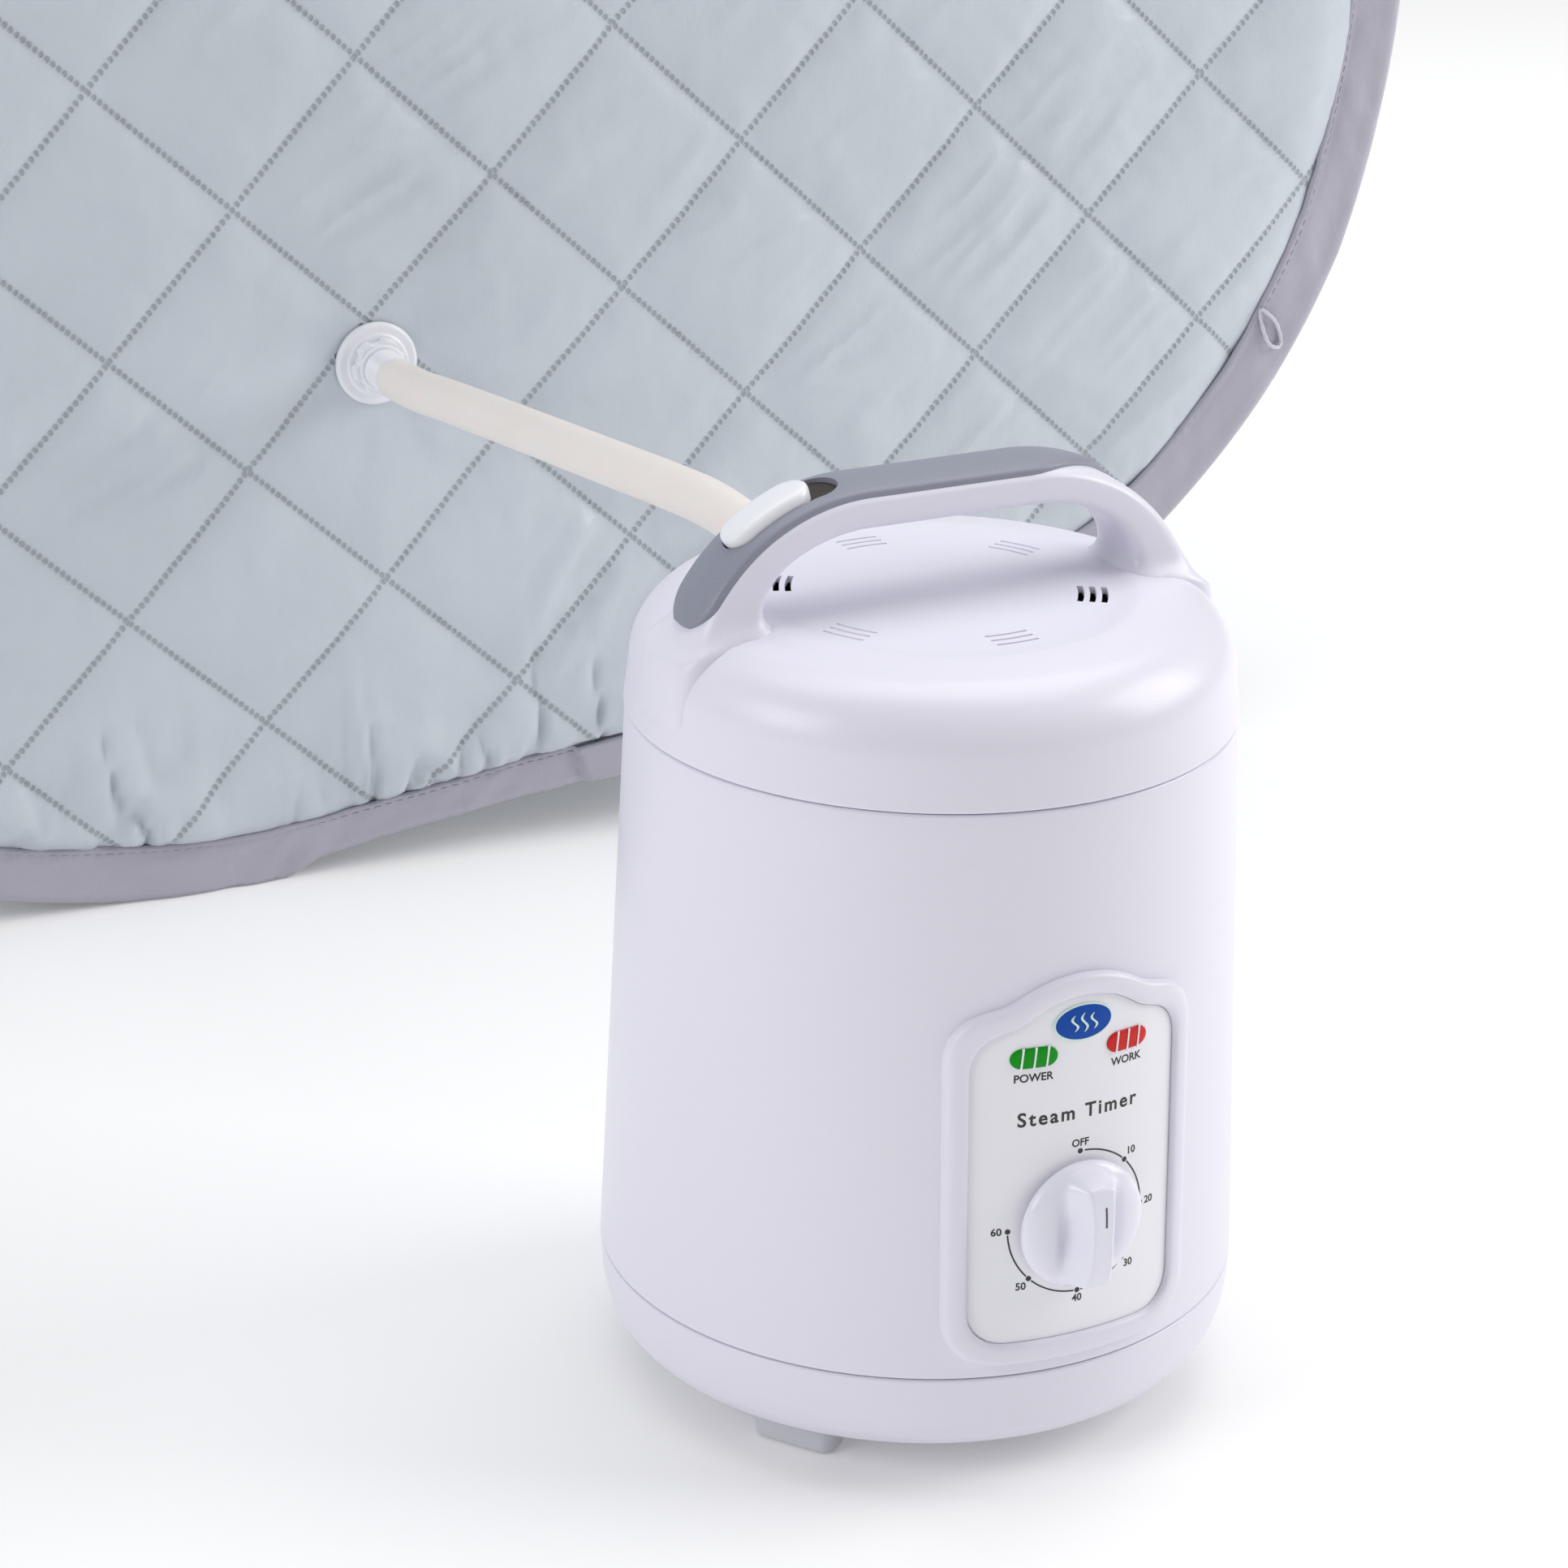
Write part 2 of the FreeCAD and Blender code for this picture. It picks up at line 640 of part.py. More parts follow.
def control_panel():
    """The raised bezel, its label, the badge and the two lamp lenses."""
    z_low, z_high = size("bezel_low") - 2, size("bezel_peak") + 2
    layer = cone_shell("BezelLayer", 0.1, size("bezel_proud"), z_low, z_high)
    plate = common("BezelPlate", layer, bezel_outline(0, "BezelOutline"))
    window = bezel_outline(size("bezel_rim"), "BezelWindow")
    keep("control_bezel", cut("BezelCut", plate, window), True)

    layer = cone_shell("LabelLayer", 0.1, size("label_proud"), z_low, z_high)
    face = common("LabelFace", layer, bezel_outline(size("bezel_rim") + 0.1, "LabelOutline"))
    offset, height = size("lamp_offset"), size("lamp_height")
    holes = [lens_shape(side * offset, f"LensHole{name}", 0.1)
             for name, side in (("Power", -1), ("Work", 1))]
    holes.append(front_cylinder("DialHole", 0, size("dial_height"), 4, PANEL_FRONT, PANEL_REACH))
    keep("control_label", cut("LabelCut", face, fuse("LabelHoles", holes)), True)

    skin = cone_shell("BadgeLayer", size("label_proud"), size("label_proud") + 0.8, z_low, z_high)
    ellipse = Part.Ellipse(ORIGIN, *BADGE_HALVES).toShape()
    ellipse.rotate(ORIGIN, X_AXIS, 90)
    ellipse.translate(Vector(0, PANEL_FRONT, size("badge_height")))
    oval = feature(Part.Face(Part.Wire([ellipse])).extrude(Vector(0, PANEL_REACH, 0)), "BadgeOval")
    keep("badge", common("BadgeCommon", skin, oval), True)

    for label, side in (("power_lens", -1), ("work_lens", 1)):
        skin = cone_shell(label + "Layer", -3.2, size("label_proud") + 0.9, z_low, z_high)
        lens = lens_shape(side * offset, label + "Oval")
        keep(label, common(label + "Common", skin, lens), True)
        lamp = front_cylinder(label + "Lamp", side * offset, height, 3, -body_radius(height) + 5.6, 14)
        keep(label.replace("lens", "lamp"), lamp, True)


def body_shell():
    """The tapered body wall with its holes for lamps, timer, steam outlet and power inlet."""
    wall = "shell_wall"
    turned_body("body_shell", [
        (f"body_low_radius - {wall}", "body_low"), ("body_low_radius", "body_low"),
        ("body_top_radius", "body_top"), (f"body_top_radius - {wall}", "body_top"),
    ])
    holes = [lens_shape(side * size("lamp_offset"), f"ShellLens{name}", 0.1)
             for name, side in (("Power", -1), ("Work", 1))]
    holes.append(front_cylinder("ShellDial", 0, size("dial_height"), 4, PANEL_FRONT, PANEL_REACH))
    holes.append(cylinder("ShellOutlet", 6.2, 40, facing(*polar(70, OUTLET_ANGLE, OUTLET_HEIGHT),
                                                         polar(1, OUTLET_ANGLE))))
    holes.append(inlet_block("ShellInlet", 27.4, 20.4, 70, 40))
    keep("body_shell", cut("ShellCut", pieces["body_shell"], fuse("ShellHoles", holes)))


def inlet_block(name, wide, tall, near, deep):
    """A block that points out of the body wall where the power inlet is."""
    item = box(name, deep, wide, tall)
    item.Placement = Placement(ORIGIN, Rotation(Z_AXIS, INLET_ANGLE)) * at(
        near, -wide / 2, INLET_HEIGHT - tall / 2)
    return item


def power_inlet():
    """A recessed appliance inlet with three blades. Its lead is separate."""
    body = inlet_block("InletBody", 27, 20, 80, 19)
    low, high = INLET_HEIGHT - 16, INLET_HEIGHT + 16
    wall = feature(Part.makeCone(body_radius(low), body_radius(high), high - low, Vector(0, 0, low)),
                   "InletWall")
    flange = cut("InletFlangeCut", inlet_block("InletFlange", 33, 26, 96, 5.2), wall)
    recess = inlet_block("InletRecess", 22, 14, 86, 20)
    turn = Placement(ORIGIN, Rotation(Z_AXIS, INLET_ANGLE))
    blades = []
    for index, (y, z) in enumerate(((-6, -2), (0, 2), (6, -2))):
        blade = box(f"InletBlade{index}", 9, 1.4, 4)
        blade.Placement = turn * at(85.5, y - 0.7, INLET_HEIGHT + z - 2)
        blades.append(blade)
    shell = cut("InletCut", fuse("InletFuse", [body, flange]), recess)
    keep("power_inlet", fuse("InletBlades", [shell] + blades), True)


# ---------------------------------------------------------------- inside the pot

def pot_inside():
    """Tank, heater, sensors, posts, timer and the ring that closes the body's top."""
    tank, wall = "tank_radius", "tank_wall"
    turned_body("water_tank", [
        ("0", "tank_low"), (tank, "tank_low"), (tank, f"tank_top - {wall}"),
        (f"{tank} + 9", f"tank_top - {wall}"), (f"{tank} + 9", "tank_top"),
        (f"{tank} - {wall}", "tank_top"), (f"{tank} - {wall}", f"tank_low + {wall}"),
        ("0", f"tank_low + {wall}"),
    ])
    outlet = cylinder("TankOutlet", 4, 40, facing(*polar(50, OUTLET_ANGLE, OUTLET_HEIGHT),
                                                  polar(1, OUTLET_ANGLE)))
    keep("water_tank", cut("TankCut", pieces["water_tank"], outlet))
    turned_body("top_ring", [
        (f"{tank} + 2", "tank_top - 3.6"), ("body_top_radius - shell_wall - 0.2", "tank_top - 3.6"),
        ("body_top_radius - shell_wall - 0.2", "body_top"), (f"{tank} + 13", "body_top"),
        (f"{tank} + 13", f"tank_top - {wall}"), (f"{tank} + 2", f"tank_top - {wall}"),
    ])
    turned_body("heater_plate", [
        ("0", "tank_low - 7"), ("58", "tank_low - 7"), ("58", "tank_low"), ("0", "tank_low"),
    ])
    element = Part.makeTorus(44, 4.2, Vector(0, 0, size("tank_low") - 11.2))
    keep("heater_element", feature(element, "HeaterRing"), True)
    keep("thermostat", cylinder("ThermostatCan", 8, 12, at(z=size("tank_low") - 19)), True)
    keep("thermal_fuse", cylinder("FuseBarrel", 2, 16,
                                  facing(-8, 24, size("tank_low") - 9, X_AXIS)), True)
    turned_body("heat_shield", [
        ("0", "foot_height + 14"), ("66", "foot_height + 14"), ("72", "foot_height + 26"),
        ("71", "foot_height + 26"), ("65", "foot_height + 15"), ("0", "foot_height + 15"),
    ])
    posts = []
    base_top = size("foot_height + shell_wall")
    for index in range(4):
        post = cylinder(f"Post{index}", 4, "14 - shell_wall",
                        Placement(polar(SCREW_CIRCLE, 90 * index, base_top), Rotation()))
        bore = cylinder(f"PostBore{index}", 1.6, 8.4,
                        Placement(polar(SCREW_CIRCLE, 90 * index, base_top - 0.1), Rotation()))
        posts.append(cut(f"BoredPost{index}", post, bore))
    keep("support_posts", feature_group("PostGroup", posts), True)

    pipe = ring_tube("SteamPipeTube", 4, 2.6, 22.5,
                     facing(*polar(size("tank_radius - tank_wall"), OUTLET_ANGLE, OUTLET_HEIGHT),
                            polar(1, OUTLET_ANGLE)))
    keep("steam_pipe", pipe, True)


def steam_nozzle():
    """The cranked outlet on the back of the body that the hose pushes onto."""
    def tube(name, radius):
        items = []
        for index, (a, b) in enumerate(zip(NOZZLE_LINE, NOZZLE_LINE[1:])):
            run = Vector(b[0] - a[0], 0, b[1] - a[1])
            items.append(primitive("Cylinder", f"{name}{index}", {"Radius": radius, "Height": run.Length},
                                   facing(a[0], 0, a[1], run)))
        for index, spot in enumerate(NOZZLE_LINE[1:-1]):
            items.append(primitive("Sphere", f"{name}Elbow{index}", {"Radius": radius},
                                   at(spot[0], 0, spot[1])))
        return items

    wall = body_radius(OUTLET_HEIGHT)
    root = cylinder("NozzleFlange", 11, 3.4, facing(wall - 0.4, 0, OUTLET_HEIGHT, X_AXIS))
    last, end = NOZZLE_LINE[-2], NOZZLE_LINE[-1]
    run = Vector(end[0] - last[0], 0, end[1] - last[1]).normalize()
    barb = cylinder("NozzleBarb", "hose_radius - hose_wall", 11, facing(end[0], 0, end[1], run))
    solid = fuse("NozzleFuse", [root, barb] + tube("NozzleTube", 6))
    bore_items = tube("NozzleBore", 3)
    bore_items.append(cylinder("NozzleBoreEnd", 3, 20, facing(end[0], 0, end[1], run)))
    low, high = OUTLET_HEIGHT - 17, OUTLET_HEIGHT + 18
    body = feature(Part.makeCone(body_radius(low), body_radius(high), high - low, Vector(0, 0, low)),
                   "NozzleClear")
    hollow = cut("NozzleCut", solid, fuse("NozzleVoid", bore_items + [body]))
    hollow.Placement = Placement(ORIGIN, Rotation(Z_AXIS, OUTLET_ANGLE))
    keep("steam_nozzle", hollow, True)


def timer():
    """The clockwork timer, its shaft and the knob."""
    height = size("dial_height")
    face_y = -body_radius(height)
    case = box("TimerCase", 38, 17, 38, at(-19, face_y + 5.7, height - 19))
    bush = front_cylinder("TimerBush", 0, height, 3.8, face_y + 0.3, 6)
    bore = front_cylinder("TimerBore", 0, height, 3.1, face_y, 16)
    keep("timer_unit", cut("TimerCut", fuse("TimerFuse", [case, bush]), bore), True)

    back = face_y - size("label_proud + knob_gap")
    shaft = front_cylinder("TimerShaft", 0, height, 3, back - 9, 23)
    keep("timer_shaft", shaft, True)

    length = size("knob_length")
    skirt = front_cylinder("KnobSkirt", 0, height, "knob_radius", back - 5.0, 5.0)
    dome = front_cylinder("KnobDome", 0, height, "knob_radius - 1.4", back - length, length - 5)
    scoops = []
    for index, side in enumerate((-1, 1)):
        scoop = cylinder(f"KnobScoop{index}", 17, 60,
                         facing(side * 22.5, back - length - 4.0, height - 30, Z_AXIS))
        scoops.append(scoop)
    socket = front_cylinder("KnobSocket", 0, height, 3, back - 9, 12)
    solid = cut("KnobCut", fuse("KnobFuse", [skirt, dome]), fuse("KnobVoid", scoops + [socket]))
    keep("timer_knob", solid, True)


# ---------------------------------------------------------------- lid and handle

def lid_profile(inset):
    """Half profile of the lid's outer skin, moved inwards by inset: side, shoulder, crown, dish."""
    shoulder = size("shoulder_radius")
    centre_r = size("lid_side_radius") - shoulder
    centre = (centre_r, size("shoulder_height"))
    crown = size("crown_radius")
    meet = math.degrees(math.asin(centre_r / (crown - shoulder)))
    crown_centre = (0.0, centre[1] - math.sqrt((crown - shoulder) ** 2 - centre_r ** 2))
    rim = math.degrees(math.asin((size("dish_radius") - inset) / (crown - inset)))
    rim_point = on_arc(crown_centre, crown - inset, rim)
    dish_low = rim_point[1] - size("dish_depth")
    low = size("lid_low")
    return [
        (0, low), (size("lid_low_radius") - inset, low),
        on_arc(centre, shoulder - inset, 90),
        (on_arc(centre, shoulder - inset, (90 + meet) / 2), on_arc(centre, shoulder - inset, meet)),
        (on_arc(crown_centre, crown - inset, (meet + rim) / 2), rim_point),
        (size("dish_radius") - 7 - inset, dish_low), (0, dish_low + 0.8),
    ]


def turned(points, name):
    """A solid of revolution about Z from an XZ profile with arcs."""
    return feature(profile_face(points).revolve(ORIGIN, Z_AXIS, 360), name)


VENT_LENGTH, VENT_WIDTH = 14.0, 1.5
VENT_RADII = (44.0, 47.6, 51.2)


def vent_slots():
    """Six groups of three arc-shaped slots round the lid's dish, clear of the handle's line."""
    low = Vector(0, 0, size("shoulder_height"))
    slots = []
    for group in range(6):
        for radius in VENT_RADII:
            span = math.degrees(VENT_LENGTH / radius)
            outer = Part.makeCylinder(radius + VENT_WIDTH / 2, 30, low, Z_AXIS, span)
            inner = Part.makeCylinder(radius - VENT_WIDTH / 2, 30, low, Z_AXIS, span)
            slot = outer.cut(inner)
            slot.rotate(ORIGIN, Z_AXIS, 30 + 60 * group - span / 2)
            slots.append(slot)
    return feature(Part.makeCompound(slots), "VentSlots")


def lid():
    """The lid's outer skin with its vents, and the plate, seal and screws under it."""
    hollow = turned(lid_profile(size("shell_wall")), "LidInside")
    skin = cut("LidSkin", turned(lid_profile(0), "LidOutside"), hollow)
    keep("lid_shell", cut("LidCut", skin, vent_slots()), True)
    low = "lid_low"
    turned_body("inner_lid", [
        ("0", f"{low} - 4"), ("60", f"{low} - 4"), ("66", f"{low} - 0.6"), ("80", f"{low} - 0.6"),
        ("80", f"{low} + 0.6"), ("65.5", f"{low} + 0.6"), ("59.5", f"{low} - 2.8"),
        ("0", f"{low} - 2.8"),
    ])
    turned_body("lid_seal", [
        ("72", "tank_top + 0.4"), ("80", "tank_top + 0.4"), ("80", f"{low} - 1"),
        ("72", f"{low} - 1"),
    ])
    bosses = []
    for index in range(3):
        spot = polar(50, 90 + 120 * index, size("lid_low") - 2.8)
        boss = cylinder(f"LidPost{index}", 4, 33, Placement(spot, Rotation()))
        bosses.append(boss)
    inside = turned(lid_profile(size("shell_wall")), "PostLimit")
    group = feature_group("LidPostGroup", bosses)
    keep("lid_posts", common("LidPostCommon", group, inside), True)


def arch_ring(name, outer, inner, half_width, start, end, left=True):
    """A sector of ring about one end of the handle's arch, from start to end degrees off upright."""
    side = -1 if left else 1
    centre = (side * size("arch_flat_half"), size("arch_height"))
    middle = (start + end) / 2
    face = profile_face([
        on_arc(centre, inner, side * start), on_arc(centre, outer, side * start),
        (on_arc(centre, outer, side * middle), on_arc(centre, outer, side * end)),
        on_arc(centre, inner, side * end),
        (on_arc(centre, inner, side * middle), on_arc(centre, inner, side * start)),
    ])
    face.translate(Vector(0, -half_width, 0))
    return feature(face.extrude(Vector(0, 2 * half_width, 0)), name)


def arch_top(name, outer, inner, half_width, x_low, x_high):
    """The flat bar between the two ends of the arch."""
    item = doc.addObject("Part::Box", name)
    item.Length, item.Width, item.Height = x_high - x_low, 2 * half_width, outer - inner
    item.Placement = at(x_low, -half_width, size("arch_height") + inner)
    return item


BUTTON_START, BUTTON_END = 11.0, 42.0   # degrees off upright along the left end of the arch
BUTTON_TRAVEL = 7.4                     # degrees, 8 mm at the button's face
GRIP_LEFT_END, GRIP_RIGHT_END = 68.0, 34.0


def handle():
    """The arched handle, its soft grip and the sliding lid lock in the grip."""
    outer, inner = size("arch_outer"), size("arch_inner")
    half, flat = size("handle_half_width"), size("arch_flat_half")
    thick = size("grip_thick")
    top_inner = outer - 11
    arch = fuse("HandleArch", [
        arch_ring("HandleLeft", outer, inner, half, 0, 84),
        arch_ring("HandleRight", outer, inner, half, 0, 84, False),
        arch_top("HandleTop", outer, top_inner, half, -flat, flat),
    ])
    finger_gap = fuse("FingerGap", [
        arch_ring("GapLeft", top_inner, inner - 5, half + 1, 0, 26),
        arch_ring("GapRight", top_inner, inner - 5, half + 1, 0, 26, False),
    ])
    slot = arch_ring("LockSlot", outer + 9, outer - 1.8, 7.7, BUTTON_START - BUTTON_TRAVEL - 1.5,
                     BUTTON_END + 0.6)
    lid_body = turned(lid_profile(0), "HandleFootLimit")
    keep("handle", cut("HandleCut", arch, fuse("HandleVoid", [finger_gap, slot, lid_body])), True)

    width = size("grip_half_width")
    band = fuse("GripBand", [
        arch_ring("GripLeft", outer + thick, outer, width, 0, GRIP_LEFT_END),
        arch_ring("GripRight", outer + thick, outer, width, 0, GRIP_RIGHT_END, False),
        arch_top("GripTop", outer + thick, outer, width, -flat, flat),
    ])
    grip_slot = arch_ring("GripSlot", outer + 9, outer - 2, 7.7, BUTTON_START - BUTTON_TRAVEL - 1.5,
                          BUTTON_END + 0.6)
    grip_limit = turned(lid_profile(0), "GripFootLimit")
    keep("handle_grip", cut("GripCut", band, fuse("GripVoid", [grip_slot, grip_limit])), True)

    button = arch_ring("LockButton", outer + thick + 2.6, outer - 1.5, 7.3, BUTTON_START, BUTTON_END)
    keep("lock_button", button, True)


# ---------------------------------------------------------------- hose

# Route of the hose as (distance from the pot's axis towards the port, height, sideways).
HOSE_ROUTE = [
    (*NOZZLE_LINE[-1], 0), (138, 237.6, 0), (174, 234.8, 0.6), (230, 228.8, 0.8),
    (297, 222.2, 0.4), (360, 215.8, 0), (TO_PORT.Length, 210, 0),
]


def hose():
    """The free hose from the nozzle to the port: straight runs joined by tangent arcs."""
    along = Vector(TO_PORT).normalize()
    across = Z_AXIS.cross(along)
    points = [
        POT_AXIS + along * near + across * aside + Z_AXIS * height
        for near, height, aside in HOSE_ROUTE
    ]
    edges, cursor, radii = [], points[0], []
    for before, corner, after in zip(points, points[1:], points[2:]):
        arrive, leave = (corner - before), (after - corner)
        turn = arrive.getAngle(leave)
        trim = 0.45 * min(arrive.Length, leave.Length)
        radius = trim / math.tan(turn / 2)
        radii.append(round(radius))
        begin = corner - arrive.normalize() * trim
        end = corner + leave.normalize() * trim
        bisector = (leave - arrive).normalize()
        middle = corner + bisector * (radius / math.cos(turn / 2) - radius)
        edges.append(Part.LineSegment(cursor, begin).toShape())
        edges.append(Part.Arc(begin, middle, end).toShape())
        cursor = end
    edges.append(Part.LineSegment(cursor, points[-1]).toShape())
    path = Part.Wire(edges)
    heading = (points[1] - points[0]).normalize()
    solids = []
    for radius in (size("hose_radius"), size("hose_radius - hose_wall")):
        ring = Part.Wire(Part.makeCircle(radius, points[0], heading))
        solids.append(path.makePipeShell([ring], True, True))
    tube = solids[0].cut(solids[1])
    keep("steam_hose", feature(tube, "HoseTube"))
    area = math.pi * (size("hose_radius") ** 2 - size("hose_radius - hose_wall") ** 2)
    print("hose length", round(path.Length, 1), "radii", radii,
          "volume / (section x length)", round(tube.Volume / (area * path.Length), 4))
    print("hose points", [[round(value, 1) for value in point] for point in points])


# ---------------------------------------------------------------- build

tent_panels()
tent_wrap()
door_flap("door_left", -1)
door_flap("door_right", 1)
hand_flap("hand_flap_left", -1)
hand_flap("hand_flap_right", 1)
zipper()
neck_collar()
tie_loop()
steam_port()
pot_base()
body_shell()
control_panel()
power_inlet()
pot_inside()
steam_nozzle()
timer()
lid()
handle()
hose()
doc.recompute()

pot_frame = Placement(POT_AXIS, Rotation(Z_AXIS, size("pot_yaw")))
for label in pot_pieces:
    pieces[label].Placement = pot_frame * pieces[label].Placement
doc.recompute()

for item in doc.Objects:
    if {"Invalid", "Error"} & set(item.State):
        raise RuntimeError(f"{item.Label} did not compute: {item.State}")
os.makedirs("parts", exist_ok=True)
whole = FreeCAD.BoundBox()
for label, item in pieces.items():
    shape = item.Shape
    if shape.isNull() or not shape.isValid() or not shape.Solids:
        raise RuntimeError(f"{label} has no valid solid")
    shape.exportStep(os.path.join("parts", label + ".step"))
    if label != "steam_hose":
        whole.add(shape.optimalBoundingBox(False))
print(len(pieces), "nodes; box", whole)
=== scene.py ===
import json
import math

import bmesh
import bpy
import numpy as np
from mathutils import Matrix, Vector


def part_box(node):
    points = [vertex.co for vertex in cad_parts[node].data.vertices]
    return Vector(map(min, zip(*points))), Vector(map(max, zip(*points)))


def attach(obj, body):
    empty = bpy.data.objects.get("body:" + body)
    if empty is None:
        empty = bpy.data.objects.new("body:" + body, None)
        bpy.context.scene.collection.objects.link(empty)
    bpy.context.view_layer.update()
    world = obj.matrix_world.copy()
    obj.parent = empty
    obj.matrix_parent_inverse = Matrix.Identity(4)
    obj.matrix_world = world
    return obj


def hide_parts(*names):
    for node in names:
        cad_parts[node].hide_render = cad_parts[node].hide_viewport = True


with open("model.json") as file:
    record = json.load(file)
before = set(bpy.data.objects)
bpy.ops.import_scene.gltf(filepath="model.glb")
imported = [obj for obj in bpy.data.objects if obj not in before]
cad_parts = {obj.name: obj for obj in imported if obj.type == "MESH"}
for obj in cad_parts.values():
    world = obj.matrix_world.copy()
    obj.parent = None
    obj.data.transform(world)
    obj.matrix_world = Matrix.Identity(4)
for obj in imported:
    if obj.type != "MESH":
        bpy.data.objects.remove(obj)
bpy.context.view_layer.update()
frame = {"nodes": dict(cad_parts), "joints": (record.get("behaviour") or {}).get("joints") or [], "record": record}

# Portable steam sauna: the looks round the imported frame.
# Geometry is worked out in millimetres in the frame's own axes and turned into metres
# when a piece is made. The pot's pieces are drawn about the pot's axis, with the control
# panel facing -Y, and POT_FRAME puts them in place.

MM = 0.001


# ---------------------------------------------------------------- places from the frame

def node_box(name):
    """Lowest and highest corner of a CAD node, in millimetres."""
    low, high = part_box(name)
    return np.array(low) / MM, np.array(high) / MM


def node_middle(name):
    """The middle of a CAD node's box, in millimetres."""
    low, high = node_box(name)
    return (low + high) / 2


def wall_radius_at(node, height, reach=1.0):
    """The largest distance from the pot's axis of a node's points near a height."""
    points = np.array([v.co for v in frame["nodes"][node].data.vertices]) / MM
    near = points[abs(points[:, 2] - height) < reach]
    return float(np.hypot(near[:, 0] - POT[0], near[:, 1] - POT[1]).max())


JOINTS = {joint["name"]: joint for joint in frame["joints"]}

panel_low, panel_high = node_box("rear_panel")
REAR = panel_low[1]                      # outer face of the rear panel
THICK = panel_high[1] - panel_low[1]
FRONT = node_box("front_panel")[1][1]    # outer face of the front panel
HALF_WIDTH, _, HEIGHT = node_box("rear_binding")[1]
MIDDLE = HEIGHT / 2
PORT = node_middle("port_flange")
lid_low, lid_high = node_box("lid_shell")
POT = (lid_low + lid_high) / 2
timer_axis = JOINTS["timer_turn"]["axis"]
POT_YAW = math.atan2(-timer_axis[0], timer_axis[1])
POT_FRAME = Matrix.Translation((POT[0] * MM, POT[1] * MM, 0)) @ Matrix.Rotation(POT_YAW, 4, "Z")
shell_low, shell_high = node_box("body_shell")
BODY_LOW, BODY_TOP = shell_low[2], shell_high[2]
BODY_LOW_RADIUS = (shell_high[0] - shell_low[0]) / 2
BODY_TOP_RADIUS = wall_radius_at("body_shell", BODY_TOP)
LID_LOW = lid_low[2]
DIAL = JOINTS["timer_turn"]["pos_m"][2] / MM
ARCH_HEIGHT = JOINTS["lock_slide"]["pos_m"][2] / MM
ARCH_HALF = math.hypot(JOINTS["lock_slide"]["pos_m"][0] / MM - POT[0],
                       JOINTS["lock_slide"]["pos_m"][1] / MM - POT[1])

# The hoop's outline: a flat, a shallow arc and a corner arc make each quarter.
FLAT_HALF, SHALLOW_RADIUS, SHALLOW_TURN = 60.0, 448.0, math.radians(38)
CORNER_RADIUS = (HALF_WIDTH - FLAT_HALF - SHALLOW_RADIUS * math.sin(SHALLOW_TURN)) / (
    1 - math.sin(SHALLOW_TURN))
SHALLOW_CENTRE = (FLAT_HALF, MIDDLE - SHALLOW_RADIUS)
CORNER_CENTRE = (SHALLOW_CENTRE[0] + (SHALLOW_RADIUS - CORNER_RADIUS) * math.sin(SHALLOW_TURN),
                 SHALLOW_CENTRE[1] + (SHALLOW_RADIUS - CORNER_RADIUS) * math.cos(SHALLOW_TURN))
BINDING_WIDTH = 27.0
ROUND = 57.3     # noise steps in a radian, for noise that runs round a ring


# ---------------------------------------------------------------- helpers

NOISE_ROWS, NOISE_COLUMNS = 97, 89


def noise(x, y, scale_x, scale_y, seed):
    """Smooth value noise from -1 to 1 on a plane, with its own scale along each axis."""
    table = np.random.default_rng(seed).uniform(-1, 1, (NOISE_ROWS, NOISE_COLUMNS))
    u, v = np.broadcast_arrays(np.asarray(x) / scale_x, np.asarray(y) / scale_y)
    i, j = np.floor(u).astype(int), np.floor(v).astype(int)
    a, b = u - i, v - j
    a, b = a * a * (3 - 2 * a), b * b * (3 - 2 * b)

    def pick(p, q):
        return table[p % NOISE_ROWS, q % NOISE_COLUMNS]

    low = pick(i, j) * (1 - a) + pick(i + 1, j) * a
    high = pick(i, j + 1) * (1 - a) + pick(i + 1, j + 1) * a
    return low * (1 - b) + high * b


def ease(value, low, high):
    """0 below low, 1 above high, smooth between."""
    t = np.clip((np.asarray(value, float) - low) / (high - low), 0, 1)
    return t * t * (3 - 2 * t)


def circle(count):
    """Evenly spaced angles round a full turn."""
    return np.linspace(0, 2 * math.pi, count, endpoint=False)


def walked(line):
    """A closed line with its first point again at the end, and the length walked to each point."""
    closed = np.vstack([line, line[:1]])
    steps = np.linalg.norm(np.diff(closed, axis=0), axis=1)
    return closed, np.concatenate([[0], np.cumsum(steps)])


def grid_faces(rows, columns, close_rows=False, close_columns=False):
    """Quads over points numbered row by row."""
    r, c = np.meshgrid(np.arange(rows if close_rows else rows - 1),
                       np.arange(columns if close_columns else columns - 1), indexing="ij")
    r1, c1 = (r + 1) % rows, (c + 1) % columns
    quads = np.stack([r * columns + c, r * columns + c1, r1 * columns + c1, r1 * columns + c], -1)
    return quads.reshape(-1, 4).tolist()


def tube(rings):
    """(points, faces) of equal rings, the last of them joined to the first."""
    rings = np.asarray(rings)
    return rings.reshape(-1, 3), grid_faces(*rings.shape[:2], close_rows=True, close_columns=True)


def capped(rings):
    """(points, faces) of a stack of equal rings, closed by a flat face at each end."""
    rings = np.asarray(rings)
    count, width = rings.shape[:2]
    faces = grid_faces(count, width, close_columns=True)
    faces += [list(range((count - 1) * width, count * width)), list(range(width))[::-1]]
    return rings.reshape(-1, 3), faces


def add_object(name, data):
    """A new object in the scene's own collection."""
    item = bpy.data.objects.new(name, data)
    bpy.context.scene.collection.objects.link(item)
    return item


